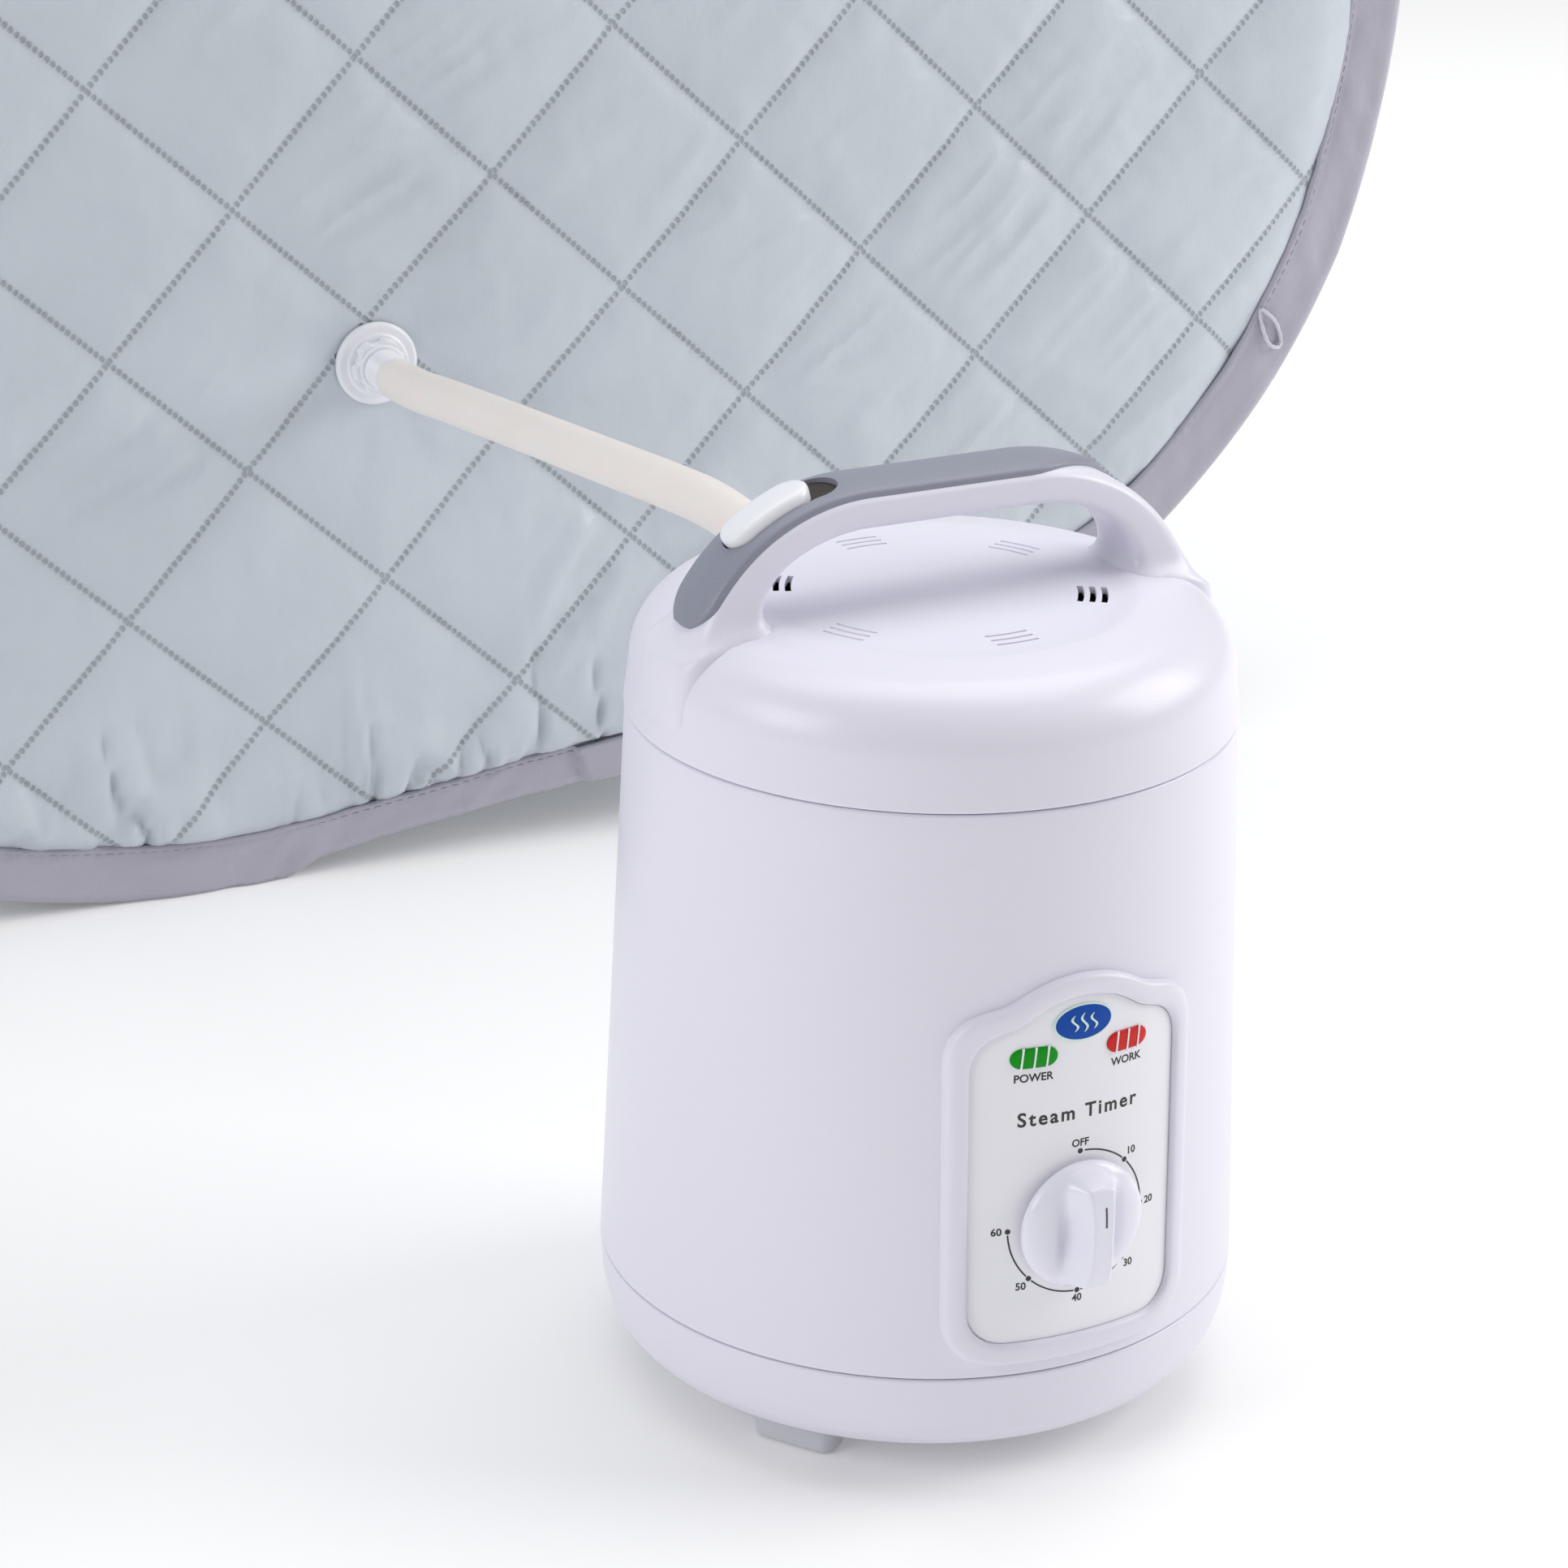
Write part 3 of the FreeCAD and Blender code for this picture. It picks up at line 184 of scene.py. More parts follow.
def add_mesh(name, shape, slot, replaces=(), body="sauna", finish=None, on_pot=False, sharp=40):
    """A new piece from (points, faces) in millimetres, which rides on a CAD body.

    Its finish is its slot's own unless another is named. An edge past sharp degrees stays
    sharp, and 0 leaves none sharp.
    """
    points, faces = shape
    mesh = bpy.data.meshes.new(name)
    mesh.from_pydata((np.asarray(points, float) * MM).tolist(), [], faces)
    mesh.validate()
    mesh.shade_smooth()
    if sharp:
        mesh.set_sharp_from_angle(angle=math.radians(sharp))
    mesh.materials.append(FINISH[finish or slot])
    piece = add_object(name, mesh)
    if on_pot:
        piece.matrix_world = POT_FRAME
    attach(piece, body)
    if replaces:
        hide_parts(*replaces)
    return piece


def merged(parts):
    """Several (points, faces) as one."""
    points, faces, count = [], [], 0
    for some_points, some_faces in parts:
        points.append(np.asarray(some_points, float))
        faces.extend([[index + count for index in face] for face in some_faces])
        count += len(some_points)
    return np.concatenate(points), faces


def lathe(profile, segments=192):
    """(points, faces) of a profile of (radius, height) turned about Z. Radius 0 is a pole."""
    angles = np.linspace(0, 2 * math.pi, segments, endpoint=False)
    points, faces, rings = [], [], []
    for radius, height in profile:
        start = len(points)
        if radius == 0:
            points.append((0, 0, height))
            rings.append([start])
        else:
            points.extend(zip(radius * np.cos(angles), radius * np.sin(angles), [height] * segments))
            rings.append(list(range(start, start + segments)))
    pairs = list(zip(rings, rings[1:]))
    if len(rings[0]) > 1 and len(rings[-1]) > 1:
        pairs.append((rings[-1], rings[0]))
    for lower, upper in pairs:
        for k in range(segments):
            m = (k + 1) % segments
            if len(lower) == 1:
                faces.append([lower[0], upper[m], upper[k]])
            elif len(upper) == 1:
                faces.append([lower[k], lower[m], upper[0]])
            else:
                faces.append([lower[k], lower[m], upper[m], upper[k]])
    return np.array(points), faces


def rounded(corners, steps=6):
    """A polyline through (x, y, radius) corners, each corner rounded by its radius."""
    line = []
    count = len(corners)
    for index, (x, y, radius) in enumerate(corners):
        here = np.array((x, y), float)
        if not radius:
            line.append(here)
            continue
        before = np.array(corners[index - 1][:2], float) - here
        after = np.array(corners[(index + 1) % count][:2], float) - here
        before /= np.linalg.norm(before)
        after /= np.linalg.norm(after)
        half = math.acos(np.clip(before @ after, -1, 1)) / 2
        reach = radius / math.tan(half)
        start, end = here + before * reach, here + after * reach
        bisector = (before + after) / np.linalg.norm(before + after)
        centre = here + bisector * radius / math.sin(half)
        for step in range(steps + 1):
            share = step / steps
            spot = start * (1 - share) + end * share - centre
            line.append(centre + spot / np.linalg.norm(spot) * radius)
    return np.array(line)


def arc(centre, radius, start, end, steps):
    """Points on an arc, its angles in degrees from straight up towards +X."""
    turns = np.radians(np.linspace(start, end, steps))
    return np.stack([centre[0] + radius * np.sin(turns), centre[1] + radius * np.cos(turns)], -1)


def prism(outline, low, high, axis="y"):
    """(points, faces) of an outline of (x, z) extruded along y, or of (x, y) along z."""
    outline = np.asarray(outline, float)
    count = len(outline)
    columns = {"y": (0, 2, 1), "z": (0, 1, 2)}[axis]
    points = np.zeros((2 * count, 3))
    for part, level in ((slice(0, count), low), (slice(count, None), high)):
        points[part, columns[0]] = outline[:, 0]
        points[part, columns[1]] = outline[:, 1]
        points[part, columns[2]] = level
    faces = [list(range(count))[::-1], list(range(count, 2 * count))]
    faces += [[k, (k + 1) % count, (k + 1) % count + count, k + count] for k in range(count)]
    return points, faces


def outwards(piece):
    """Turns every face of a closed piece to the outside."""
    work = bmesh.new()
    work.from_mesh(piece.data)
    bmesh.ops.recalc_face_normals(work, faces=work.faces)
    work.to_mesh(piece.data)
    work.free()
    return piece


def solid(name, shape, slot, replaces=(), **options):
    """A closed new piece, with every face turned to the outside."""
    return outwards(add_mesh(name, shape, slot, replaces, **options))


def pot_solid(name, shape, slot, replaces=(), **options):
    """A closed new piece that is drawn about the pot's axis."""
    return solid(name, shape, slot, replaces, on_pot=True, **options)


def bevel(piece, width, segments=3, angle=35):
    """Rounds a piece's edges by a width in millimetres."""
    rounding = piece.modifiers.new("Rounding", "BEVEL")
    rounding.width, rounding.segments = width * MM, segments
    rounding.limit_method, rounding.angle_limit = "ANGLE", math.radians(angle)
    rounding.harden_normals = True


def carve(piece, tools):
    """Cuts closed (points, faces) shapes out of a piece and applies the cut."""
    points, faces = merged(tools)
    mesh = bpy.data.meshes.new("Cutter")
    mesh.from_pydata((points * MM).tolist(), [], faces)
    cutter = add_object("Cutter", mesh)
    cutter.matrix_world = piece.matrix_world
    outwards(cutter)
    cut = piece.modifiers.new("Cut", "BOOLEAN")
    cut.operation, cut.solver, cut.object = "DIFFERENCE", "EXACT", cutter
    bpy.context.view_layer.update()
    graph = bpy.context.evaluated_depsgraph_get()
    result = bpy.data.meshes.new_from_object(piece.evaluated_get(graph))
    piece.modifiers.remove(cut)
    piece.data = result
    bpy.data.objects.remove(cutter)
    result.shade_smooth()
    result.set_sharp_from_angle(angle=math.radians(30))


# ---------------------------------------------------------------- materials

def srgb(red, green, blue):
    """A colour given as display values from 0 to 255."""
    def linear(value):
        value /= 255
        return value / 12.92 if value <= 0.04045 else ((value + 0.055) / 1.055) ** 2.4
    return (linear(red), linear(green), linear(blue), 1)


class Nodes:
    """A material's node tree with short ways to add and link nodes."""

    def __init__(self, name):
        self.material = bpy.data.materials.new(name)
        self.material.use_nodes = True
        self.tree = self.material.node_tree
        self.shader = self.tree.nodes["Principled BSDF"]

    def add(self, kind, **settings):
        node = self.tree.nodes.new(kind)
        for key, value in settings.items():
            setattr(node, key, value)
        return node

    def link(self, source, target):
        self.tree.links.new(source, target)

    def math(self, operation, first, second=None, clamp=False):
        node = self.add("ShaderNodeMath", operation=operation, use_clamp=clamp)
        for socket, value in zip(node.inputs, (first, second)):
            if value is None:
                continue
            if isinstance(value, (int, float)):
                socket.default_value = value
            else:
                self.link(value, socket)
        return node.outputs[0]

    def noise(self, scale, stretch=(1, 1, 1), detail=3.0, roughness=0.5):
        """Noise in object space. scale is features per metre."""
        place = self.add("ShaderNodeTexCoord")
        mapping = self.add("ShaderNodeMapping")
        mapping.inputs["Scale"].default_value = stretch
        texture = self.add("ShaderNodeTexNoise")
        texture.inputs["Scale"].default_value = scale
        texture.inputs["Detail"].default_value = detail
        texture.inputs["Roughness"].default_value = roughness
        self.link(place.outputs["Object"], mapping.inputs["Vector"])
        self.link(mapping.outputs["Vector"], texture.inputs["Vector"])
        return texture.outputs["Fac"]

    def blend(self, factor, first, second):
        node = self.add("ShaderNodeMix", data_type="RGBA")
        self.link(factor, node.inputs["Factor"])
        for socket, value in ((node.inputs["A"], first), (node.inputs["B"], second)):
            if isinstance(value, tuple):
                socket.default_value = value
            else:
                self.link(value, socket)
        return node.outputs["Result"]

    def bump(self, height, distance, strength=1.0, before=None):
        """distance is the bump's height in millimetres."""
        node = self.add("ShaderNodeBump")
        node.inputs["Strength"].default_value = strength
        node.inputs["Distance"].default_value = distance * MM
        self.link(height, node.inputs["Height"])
        if before is not None:
            self.link(before, node.inputs["Normal"])
        return node.outputs["Normal"]


def plain_finish(name, colour, roughness, vary=0.05, vary_scale=40, grain=900, grain_depth=0.02,
                 stretch=(1, 1, 1), ripple=None, **sockets):
    """A finish with slight colour variation, uneven gloss and a fine surface grain.

    ripple is the scale and depth of broader unevenness under the grain.
    """
    nodes = Nodes(name)
    base = srgb(*colour)
    darker = tuple(channel * (1 - vary) for channel in base[:3]) + (1,)
    patch = nodes.noise(vary_scale, stretch)
    nodes.link(nodes.blend(patch, base, darker), nodes.shader.inputs["Base Color"])
    gloss = nodes.math("ADD", nodes.math("MULTIPLY", patch, roughness * 0.25), roughness * 0.87)
    nodes.link(gloss, nodes.shader.inputs["Roughness"])
    broad = nodes.bump(nodes.noise(ripple[0]), ripple[1]) if ripple else None
    fine = nodes.noise(grain, stretch, detail=2.0)
    nodes.link(nodes.bump(fine, grain_depth, before=broad), nodes.shader.inputs["Normal"])
    for socket, value in sockets.items():
        nodes.shader.inputs[socket.replace("_", " ")].default_value = value
    return nodes.material


QUILT_PITCH = 73.7     # side of a quilted square
DOT_PITCH = 2.9        # from weld to weld along a quilting line


def quilted_finish(name, colour, seam_colour):
    """Satin cloth with rows of small welds along the quilting lines of the UV lattice."""
    nodes = Nodes(name)
    lattice = nodes.add("ShaderNodeUVMap", uv_map="lattice")
    axes = nodes.add("ShaderNodeSeparateXYZ")
    nodes.link(lattice.outputs["UV"], axes.inputs[0])

    def offset(value, period):
        """Distance in millimetres from the nearest whole number of periods."""
        shifted = nodes.math("ADD", nodes.math("MULTIPLY", value, QUILT_PITCH / period), 0.5)
        return nodes.math("MULTIPLY", nodes.math("ABSOLUTE", nodes.math(
            "SUBTRACT", nodes.math("FRACT", shifted), 0.5)), period)

    welds, seams = [], []
    for across, along in (("X", "Y"), ("Y", "X")):
        aside = offset(axes.outputs[across], QUILT_PITCH)
        step = offset(axes.outputs[along], DOT_PITCH)
        far = nodes.math("SQRT", nodes.math(
            "ADD", nodes.math("POWER", nodes.math("MULTIPLY", aside, 0.85), 2),
            nodes.math("POWER", step, 2)))
        welds.append(nodes.math("SUBTRACT", 1, nodes.math(
            "DIVIDE", nodes.math("SUBTRACT", far, 0.55), 0.75), clamp=True))
        seams.append(nodes.math("SUBTRACT", 1, nodes.math("DIVIDE", aside, 2.4), clamp=True))
    weld = nodes.math("MAXIMUM", welds[0], welds[1])
    seam = nodes.math("MAXIMUM", seams[0], seams[1])

    cloud = nodes.noise(9, detail=4)
    thread = nodes.noise(1500, (1, 1, 0.12), detail=2)
    slub = nodes.noise(160, (1, 1, 0.06), detail=2)
    base = srgb(*colour)
    light = tuple(min(1, channel * 1.05) for channel in base[:3]) + (1,)
    dark = tuple(channel * 0.93 for channel in base[:3]) + (1,)
    tone = nodes.blend(cloud, dark, light)
    streak = nodes.blend(nodes.math("MULTIPLY", slub, 0.35), tone, light)
    pressed = nodes.blend(nodes.math("MULTIPLY", seam, 0.16), streak, srgb(*seam_colour))
    printed = nodes.blend(nodes.math("MULTIPLY", weld, 0.6), pressed, srgb(*seam_colour))
    nodes.link(printed, nodes.shader.inputs["Base Color"])
    nodes.link(nodes.math("ADD", nodes.math("MULTIPLY", thread, 0.16), 0.25),
               nodes.shader.inputs["Roughness"])
    rippled = nodes.bump(nodes.noise(34, detail=4), 1.6)
    woven = nodes.bump(thread, 0.06, before=rippled)
    stamped = nodes.bump(nodes.math("SUBTRACT", 1, weld), 0.55, before=woven)
    nodes.link(stamped, nodes.shader.inputs["Normal"])
    nodes.shader.inputs["Sheen Weight"].default_value = 0.25
    nodes.shader.inputs["Sheen Roughness"].default_value = 0.4
    return nodes.material


FINISH = {
    "tent_fabric": quilted_finish("QuiltedSatin", (197, 204, 211), (134, 145, 148)),
    "binding_fabric": plain_finish("BindingSatin", (174, 172, 184), 0.28, vary=0.07, vary_scale=14,
                                   grain=2600, grain_depth=0.05, stretch=(1, 1, 0.3),
                                   ripple=(55, 1.1), Sheen_Weight=0.35, Sheen_Roughness=0.35),
    "loop_thread": plain_finish("LoopThread", (208, 206, 217), 0.6, vary=0.1, vary_scale=900),
    "collar_fabric": plain_finish("CollarCloth", (178, 188, 196), 0.7, vary=0.08, vary_scale=60,
                                  grain=1400, grain_depth=0.12, Sheen_Weight=0.5),
    "spring_wire": plain_finish("SpringSteel", (150, 152, 156), 0.3, Metallic=1.0, grain=600),
    "zip_tape": plain_finish("ZipTape", (150, 156, 164), 0.75, vary=0.12, vary_scale=300,
                             grain=1600, grain_depth=0.15),
    "zip_teeth": plain_finish("ZipTeeth", (205, 208, 214), 0.35, grain=400),
    "zip_metal": plain_finish("ZipMetal", (190, 192, 196), 0.22, Metallic=1.0, grain=700),
    "white_plastic": plain_finish("GlossWhite", (229, 227, 238), 0.34, vary=0.012, vary_scale=12,
                                  grain=260, grain_depth=0.012, Coat_Weight=0.1,
                                  Coat_Roughness=0.2, Subsurface_Weight=0.04,
                                  Subsurface_Scale=0.002),
    "button_plastic": plain_finish("ButtonWhite", (238, 239, 244), 0.3, vary=0.01, vary_scale=30,
                                   grain=500, grain_depth=0.01, Coat_Weight=0.15),
    "knob_white": plain_finish("KnobWhite", (234, 233, 244), 0.26, vary=0.01, vary_scale=20,
                               grain=320, grain_depth=0.01, Coat_Weight=0.15, Coat_Roughness=0.15),
    "label_plastic": plain_finish("LabelFilm", (240, 239, 245), 0.33, vary=0.015, vary_scale=50,
                                  grain=1400, grain_depth=0.02),
    "pointer_grey": plain_finish("PointerGrey", (84, 84, 92), 0.4, vary=0.1, vary_scale=400),
    "label_ink": plain_finish("LabelInk", (38, 39, 43), 0.4, vary=0.1, vary_scale=400, grain=1500),
    "badge_blue": plain_finish("BadgeBlue", (0, 74, 170), 0.4, vary=0.12, vary_scale=120,
                               grain=900, Specular_IOR_Level=0.2),
    "badge_line": plain_finish("BadgeLine", (214, 236, 226), 0.3, vary=0.05, vary_scale=200),
    "green_lens": plain_finish("GreenLens", (0, 146, 12), 0.4, vary=0.15, vary_scale=300,
                               grain=700, Specular_IOR_Level=0.2, Emission_Color=srgb(20, 150, 50),
                               Emission_Strength=0.05),
    "red_lens": plain_finish("RedLens", (208, 40, 32), 0.4, vary=0.15, vary_scale=300,
                             grain=700, Specular_IOR_Level=0.2, Emission_Color=srgb(190, 50, 40),
                             Emission_Strength=0.05),
    "lamp_glass": plain_finish("LampGlass", (225, 220, 205), 0.1, Transmission_Weight=0.6),
    "grey_grip": plain_finish("GripGrey", (149, 152, 166), 0.42, vary=0.28, vary_scale=2300,
                              grain=1700, grain_depth=0.05),
    "hose_silicone": plain_finish("HoseSilicone", (242, 236, 230), 0.34, vary=0.06, vary_scale=25,
                                  grain=200, grain_depth=0.02, Subsurface_Weight=0.35,
                                  Subsurface_Scale=0.006, Coat_Weight=0.1),
    "port_plastic": plain_finish("PortWhite", (234, 235, 240), 0.33, vary=0.02, vary_scale=60,
                                 grain=500, grain_depth=0.01, Subsurface_Weight=0.05,
                                 Subsurface_Scale=0.002),
    "foot_rubber": plain_finish("FootRubber", (205, 206, 212), 0.55, vary=0.06, grain=1200),
    "stainless": plain_finish("Stainless", (196, 198, 201), 0.28, Metallic=1.0, vary=0.1,
                              vary_scale=80, grain=500, grain_depth=0.02, stretch=(1, 1, 0.05)),
    "aluminium_cast": plain_finish("CastAluminium", (176, 178, 181), 0.45, Metallic=1.0, vary=0.12,
                                   vary_scale=120, grain=700, grain_depth=0.08),
    "seal_silicone": plain_finish("SealSilicone", (214, 216, 220), 0.55, vary=0.05, grain=900),
    "inner_plastic": plain_finish("InnerPlastic", (219, 221, 225), 0.5, vary=0.04, grain=900,
                                  grain_depth=0.04),
    "black_plastic": plain_finish("BlackPlastic", (26, 26, 29), 0.5, vary=0.2, vary_scale=200,
                                  grain=1500, grain_depth=0.05),
    # Painted shade: the dark colour laid at the bottom of the lock button's slot to darken the recess.
    "slot_painted_shade": plain_finish("SlotPaintedShade", (58, 50, 46), 0.7, vary=0.2, vary_scale=300),
}


def dress_cad_nodes():
    """Gives every CAD node that stays in view the finish of its record slot."""
    slots = {part["node"]: part["material_slot"] for part in frame["record"]["subparts"]}
    for name, node in frame["nodes"].items():
        node.data.materials.clear()
        node.data.materials.append(FINISH[slots[name]])


# ---------------------------------------------------------------- camera, light and floor

def camera_at_photo():
    """The camera at the photographed angle."""
    position = Vector((-508.8, REAR - 1489.2, 665.0)) * MM
    forward = Vector((0.38842, 0.84293, -0.37230)).normalized()
    roll = math.radians(1.0167)
    right = forward.cross(Vector((0, 0, 1))).normalized()
    up = right.cross(forward)
    across = right * math.cos(roll) + up * math.sin(roll)
    upright = up * math.cos(roll) - right * math.sin(roll)
    data = bpy.data.cameras.new("Camera")
    data.lens, data.sensor_width = 96.10, 36.0
    data.clip_start, data.clip_end = 0.05, 50
    camera = add_object("Camera", data)
    turn = Matrix((across, upright, -forward)).transposed()
    camera.matrix_world = Matrix.Translation(position) @ turn.to_4x4()
    bpy.context.scene.camera = camera


def soft_box(name, place, aim, width, height, watts, colour=(1, 1, 1)):
    """A rectangular light, its place, aim and size in metres."""
    light = bpy.data.lights.new(name, "AREA")
    light.shape, light.size, light.size_y = "RECTANGLE", width, height
    light.energy, light.color = watts, colour
    direction = Vector(aim) - Vector(place)
    add_object(name, light).matrix_world = (
        Matrix.Translation(place) @ direction.to_track_quat("-Z", "Y").to_matrix().to_4x4())


def studio():
    """The camera, soft light all round and a plain pale floor just under the object."""
    camera_at_photo()
    world = bpy.data.worlds.new("Studio")
    bpy.context.scene.world = world
    world.use_nodes = True
    background = world.node_tree.nodes["Background"]
    background.inputs["Color"].default_value = (0.97, 0.98, 1.0, 1)
    background.inputs["Strength"].default_value = 0.36
    soft_box("KeyLight", (2.2, -1.1, 1.4), (0, -0.3, 0.2), 1.5, 1.5, 34, (1.0, 0.99, 0.98))
    soft_box("TopLight", (0.3, 0.5, 2.9), (0, -0.3, 0), 3.4, 2.6, 62)
    soft_box("FillLight", (-2.3, -0.8, 1.3), (0, -0.3, 0.2), 1.2, 1.2, 20, (0.97, 0.97, 1.0))

    reach, level = 30.0, -0.0006
    plane = bpy.data.meshes.new("Floor")
    plane.from_pydata([(-reach, -reach, level), (reach, -reach, level),
                       (reach, reach, level), (-reach, reach, level)], [], [(0, 1, 2, 3)])
    nodes = Nodes("PaleFloor")
    for socket, value in {"Base Color": (0.9, 0.9, 0.9, 1), "Roughness": 0.8,
                          "Specular IOR Level": 0.1, "Emission Color": (1, 1, 1, 1),
                          "Emission Strength": 0.11}.items():
        nodes.shader.inputs[socket].default_value = value
    plane.materials.append(nodes.material)
    floor = add_object("Floor", plane)
    bpy.context.scene.view_settings.view_transform = "Standard"


# ---------------------------------------------------------------- hose

# The hose's route in millimetres, from the pot's nozzle to the steam port.
HOSE_ROUTE = [
    (19.9, -432.8, 235.6), (18.5, -412.8, 237.6), (15.4, -377.0, 234.8), (11.4, -321.1, 228.8),
    (7.2, -254.2, 221.4), (3.2, -191.4, 214.3), (0.6, -161.0, 210.4), (0.0, -144.5, 210.0),
]
HOSE_DIAMETER = 16.2


def steam_hose():
    """The silicone hose as one NURBS line with a round section."""
    curve = bpy.data.curves.new("steam_hose_line", "CURVE")
    curve.dimensions = "3D"
    spline = curve.splines.new("NURBS")
    spline.points.add(len(HOSE_ROUTE) - 1)
    for point, place in zip(spline.points, HOSE_ROUTE):
        point.co = [value * MM for value in place] + [1]
    spline.order_u = 3
    spline.use_endpoint_u = True
    spline.resolution_u = 24
    curve.bevel_depth = HOSE_DIAMETER / 2 * MM
    curve.bevel_resolution = 10
    curve.use_fill_caps = True
    curve.materials.append(FINISH["hose_silicone"])
    hose = add_object("silicone_hose", curve)
    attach(hose, "sauna")
    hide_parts("steam_hose")


# ---------------------------------------------------------------- quilted tent

def hoop_depth(x, z):
    """Distance inside the hoop's outline, for points near it."""
    across, above = abs(x), abs(z - MIDDLE)
    turn = np.arctan2(across - SHALLOW_CENTRE[0], np.maximum(above - SHALLOW_CENTRE[1], 1e-6))
    shallow = SHALLOW_RADIUS - np.hypot(across - SHALLOW_CENTRE[0], above - SHALLOW_CENTRE[1])
    corner = CORNER_RADIUS - np.hypot(across - CORNER_CENTRE[0], above - CORNER_CENTRE[1])
    straight = np.minimum(MIDDLE - above, HALF_WIDTH - across)
    in_corner = (across > CORNER_CENTRE[0]) & (above > CORNER_CENTRE[1]) & (turn > SHALLOW_TURN)
    in_shallow = (across > FLAT_HALF) & (above > SHALLOW_CENTRE[1]) & (turn <= SHALLOW_TURN)
    return np.where(in_corner, corner, np.where(in_shallow, shallow, straight))


# How far the rear hoop is bent outwards along its lower half, against x, and the ribbon's hem
# with the cloth that it holds.
BEND_AT = (-260, -160, -110, -68, -48, -28, 0, 30, 60, 90, 110, 160, 220, 340, 400, 430, 458)
HOOP_OUT = (0, 3, 4, 5, 5, -5, -11, -15, -19, -21, -20, -13, -3, 8, 7, 6, 0)
HEM_OUT = (2, 7, 6, 6, 5, 3, -1, -5, -10, -12.5, -13, -9, -3, 8, 7, 6, 0)


def hoop_bend(x, z, out=HOOP_OUT):
    """The rear hoop's own unevenness: its lower edge lifts and its lower corner hangs out."""
    return np.interp(x, BEND_AT, out) * ease(MIDDLE - z, 0, 120)


def hoop_line(count):
    """The outline from the top round by +X, evenly spaced.

    Gives arrays of x, z, the outward normal's x and z, and the length walked to each point.
    """
    shallow_end = math.degrees(SHALLOW_TURN)
    quarter = np.concatenate([arc(SHALLOW_CENTRE, SHALLOW_RADIUS, 0, shallow_end, 90),
                              arc(CORNER_CENTRE, CORNER_RADIUS, shallow_end, 90, 90)])
    right = np.concatenate([quarter, quarter[::-1] * (1, -1)])
    loop = np.concatenate([right, right[::-1] * (-1, 1)])
    loop[:, 1] += MIDDLE
    closed, lengths = walked(loop)
    keep = np.concatenate([[True], np.diff(lengths) > 1e-6])
    places = np.linspace(0, lengths[-1], count, endpoint=False)
    x = np.interp(places, lengths[keep], closed[keep, 0])
    z = np.interp(places, lengths[keep], closed[keep, 1])
    along = np.stack([np.roll(x, -1) - np.roll(x, 1), np.roll(z, -1) - np.roll(z, 1)], -1)
    along /= np.linalg.norm(along, axis=1)[:, None]
    return x, z, -along[:, 1], along[:, 0], places


# The quilting on the rear wall: a crossing, and the two sides of the square below it.
LATTICE_ORIGIN = (-57.2, 276.3)
LATTICE_SIDES = ((54.13, -49.50), (-50.22, -54.50))


def lattice(u, v):
    """The quilting's own coordinates: each whole number of either is a quilting line."""
    (ax, az), (bx, bz) = LATTICE_SIDES
    det = ax * bz - bx * az
    du, dv = u - LATTICE_ORIGIN[0], v - LATTICE_ORIGIN[1]
    return (du * bz - bx * dv) / det, (ax * dv - du * az) / det


def puff(u, v, height=4.2, shoulder=8.5, seed=3):
    """Height of the padded squares over the quilting lines, with the cloth's small creases."""
    s, t = lattice(u, v)
    from_s = abs(s - np.round(s)) * QUILT_PITCH
    from_t = abs(t - np.round(t)) * QUILT_PITCH
    crown = (1 - np.exp(-from_s / shoulder)) * (1 - np.exp(-from_t / shoulder))
    square = noise(np.floor(s) * 7.3 + 0.5, np.floor(t) * 5.1 + 0.5, 1, 1, seed)
    body = height * (1 + 0.12 * square) * crown
    # Short puckers run off each line of welds, and long soft drags cross the squares.
    pucker_s = noise(from_s, t * QUILT_PITCH, 16, 6.5, seed + 1) * np.exp(-from_s / 9)
    pucker_t = noise(from_t, s * QUILT_PITCH, 16, 6.5, seed + 2) * np.exp(-from_t / 9)
    creases = 1.1 * (pucker_s * (1 - np.exp(-from_s / 3)) + pucker_t * (1 - np.exp(-from_t / 3)))
    drag = 1 - abs(noise(u + 0.6 * v, v - 0.3 * u, 55, 17, seed + 3))
    crossing = np.hypot(from_s, from_t)
    star = noise(np.arctan2(from_s, from_t) * 6 + s + t, crossing, 1, 40, seed + 4)
    return (body + creases + 0.9 * ease(drag, 0.72, 1.0) * crown
            + 0.6 * star * np.exp(-crossing / 14) * ease(crossing, 2, 9)
            + 0.25 * noise(u, v, 7, 7, seed + 5) * crown)


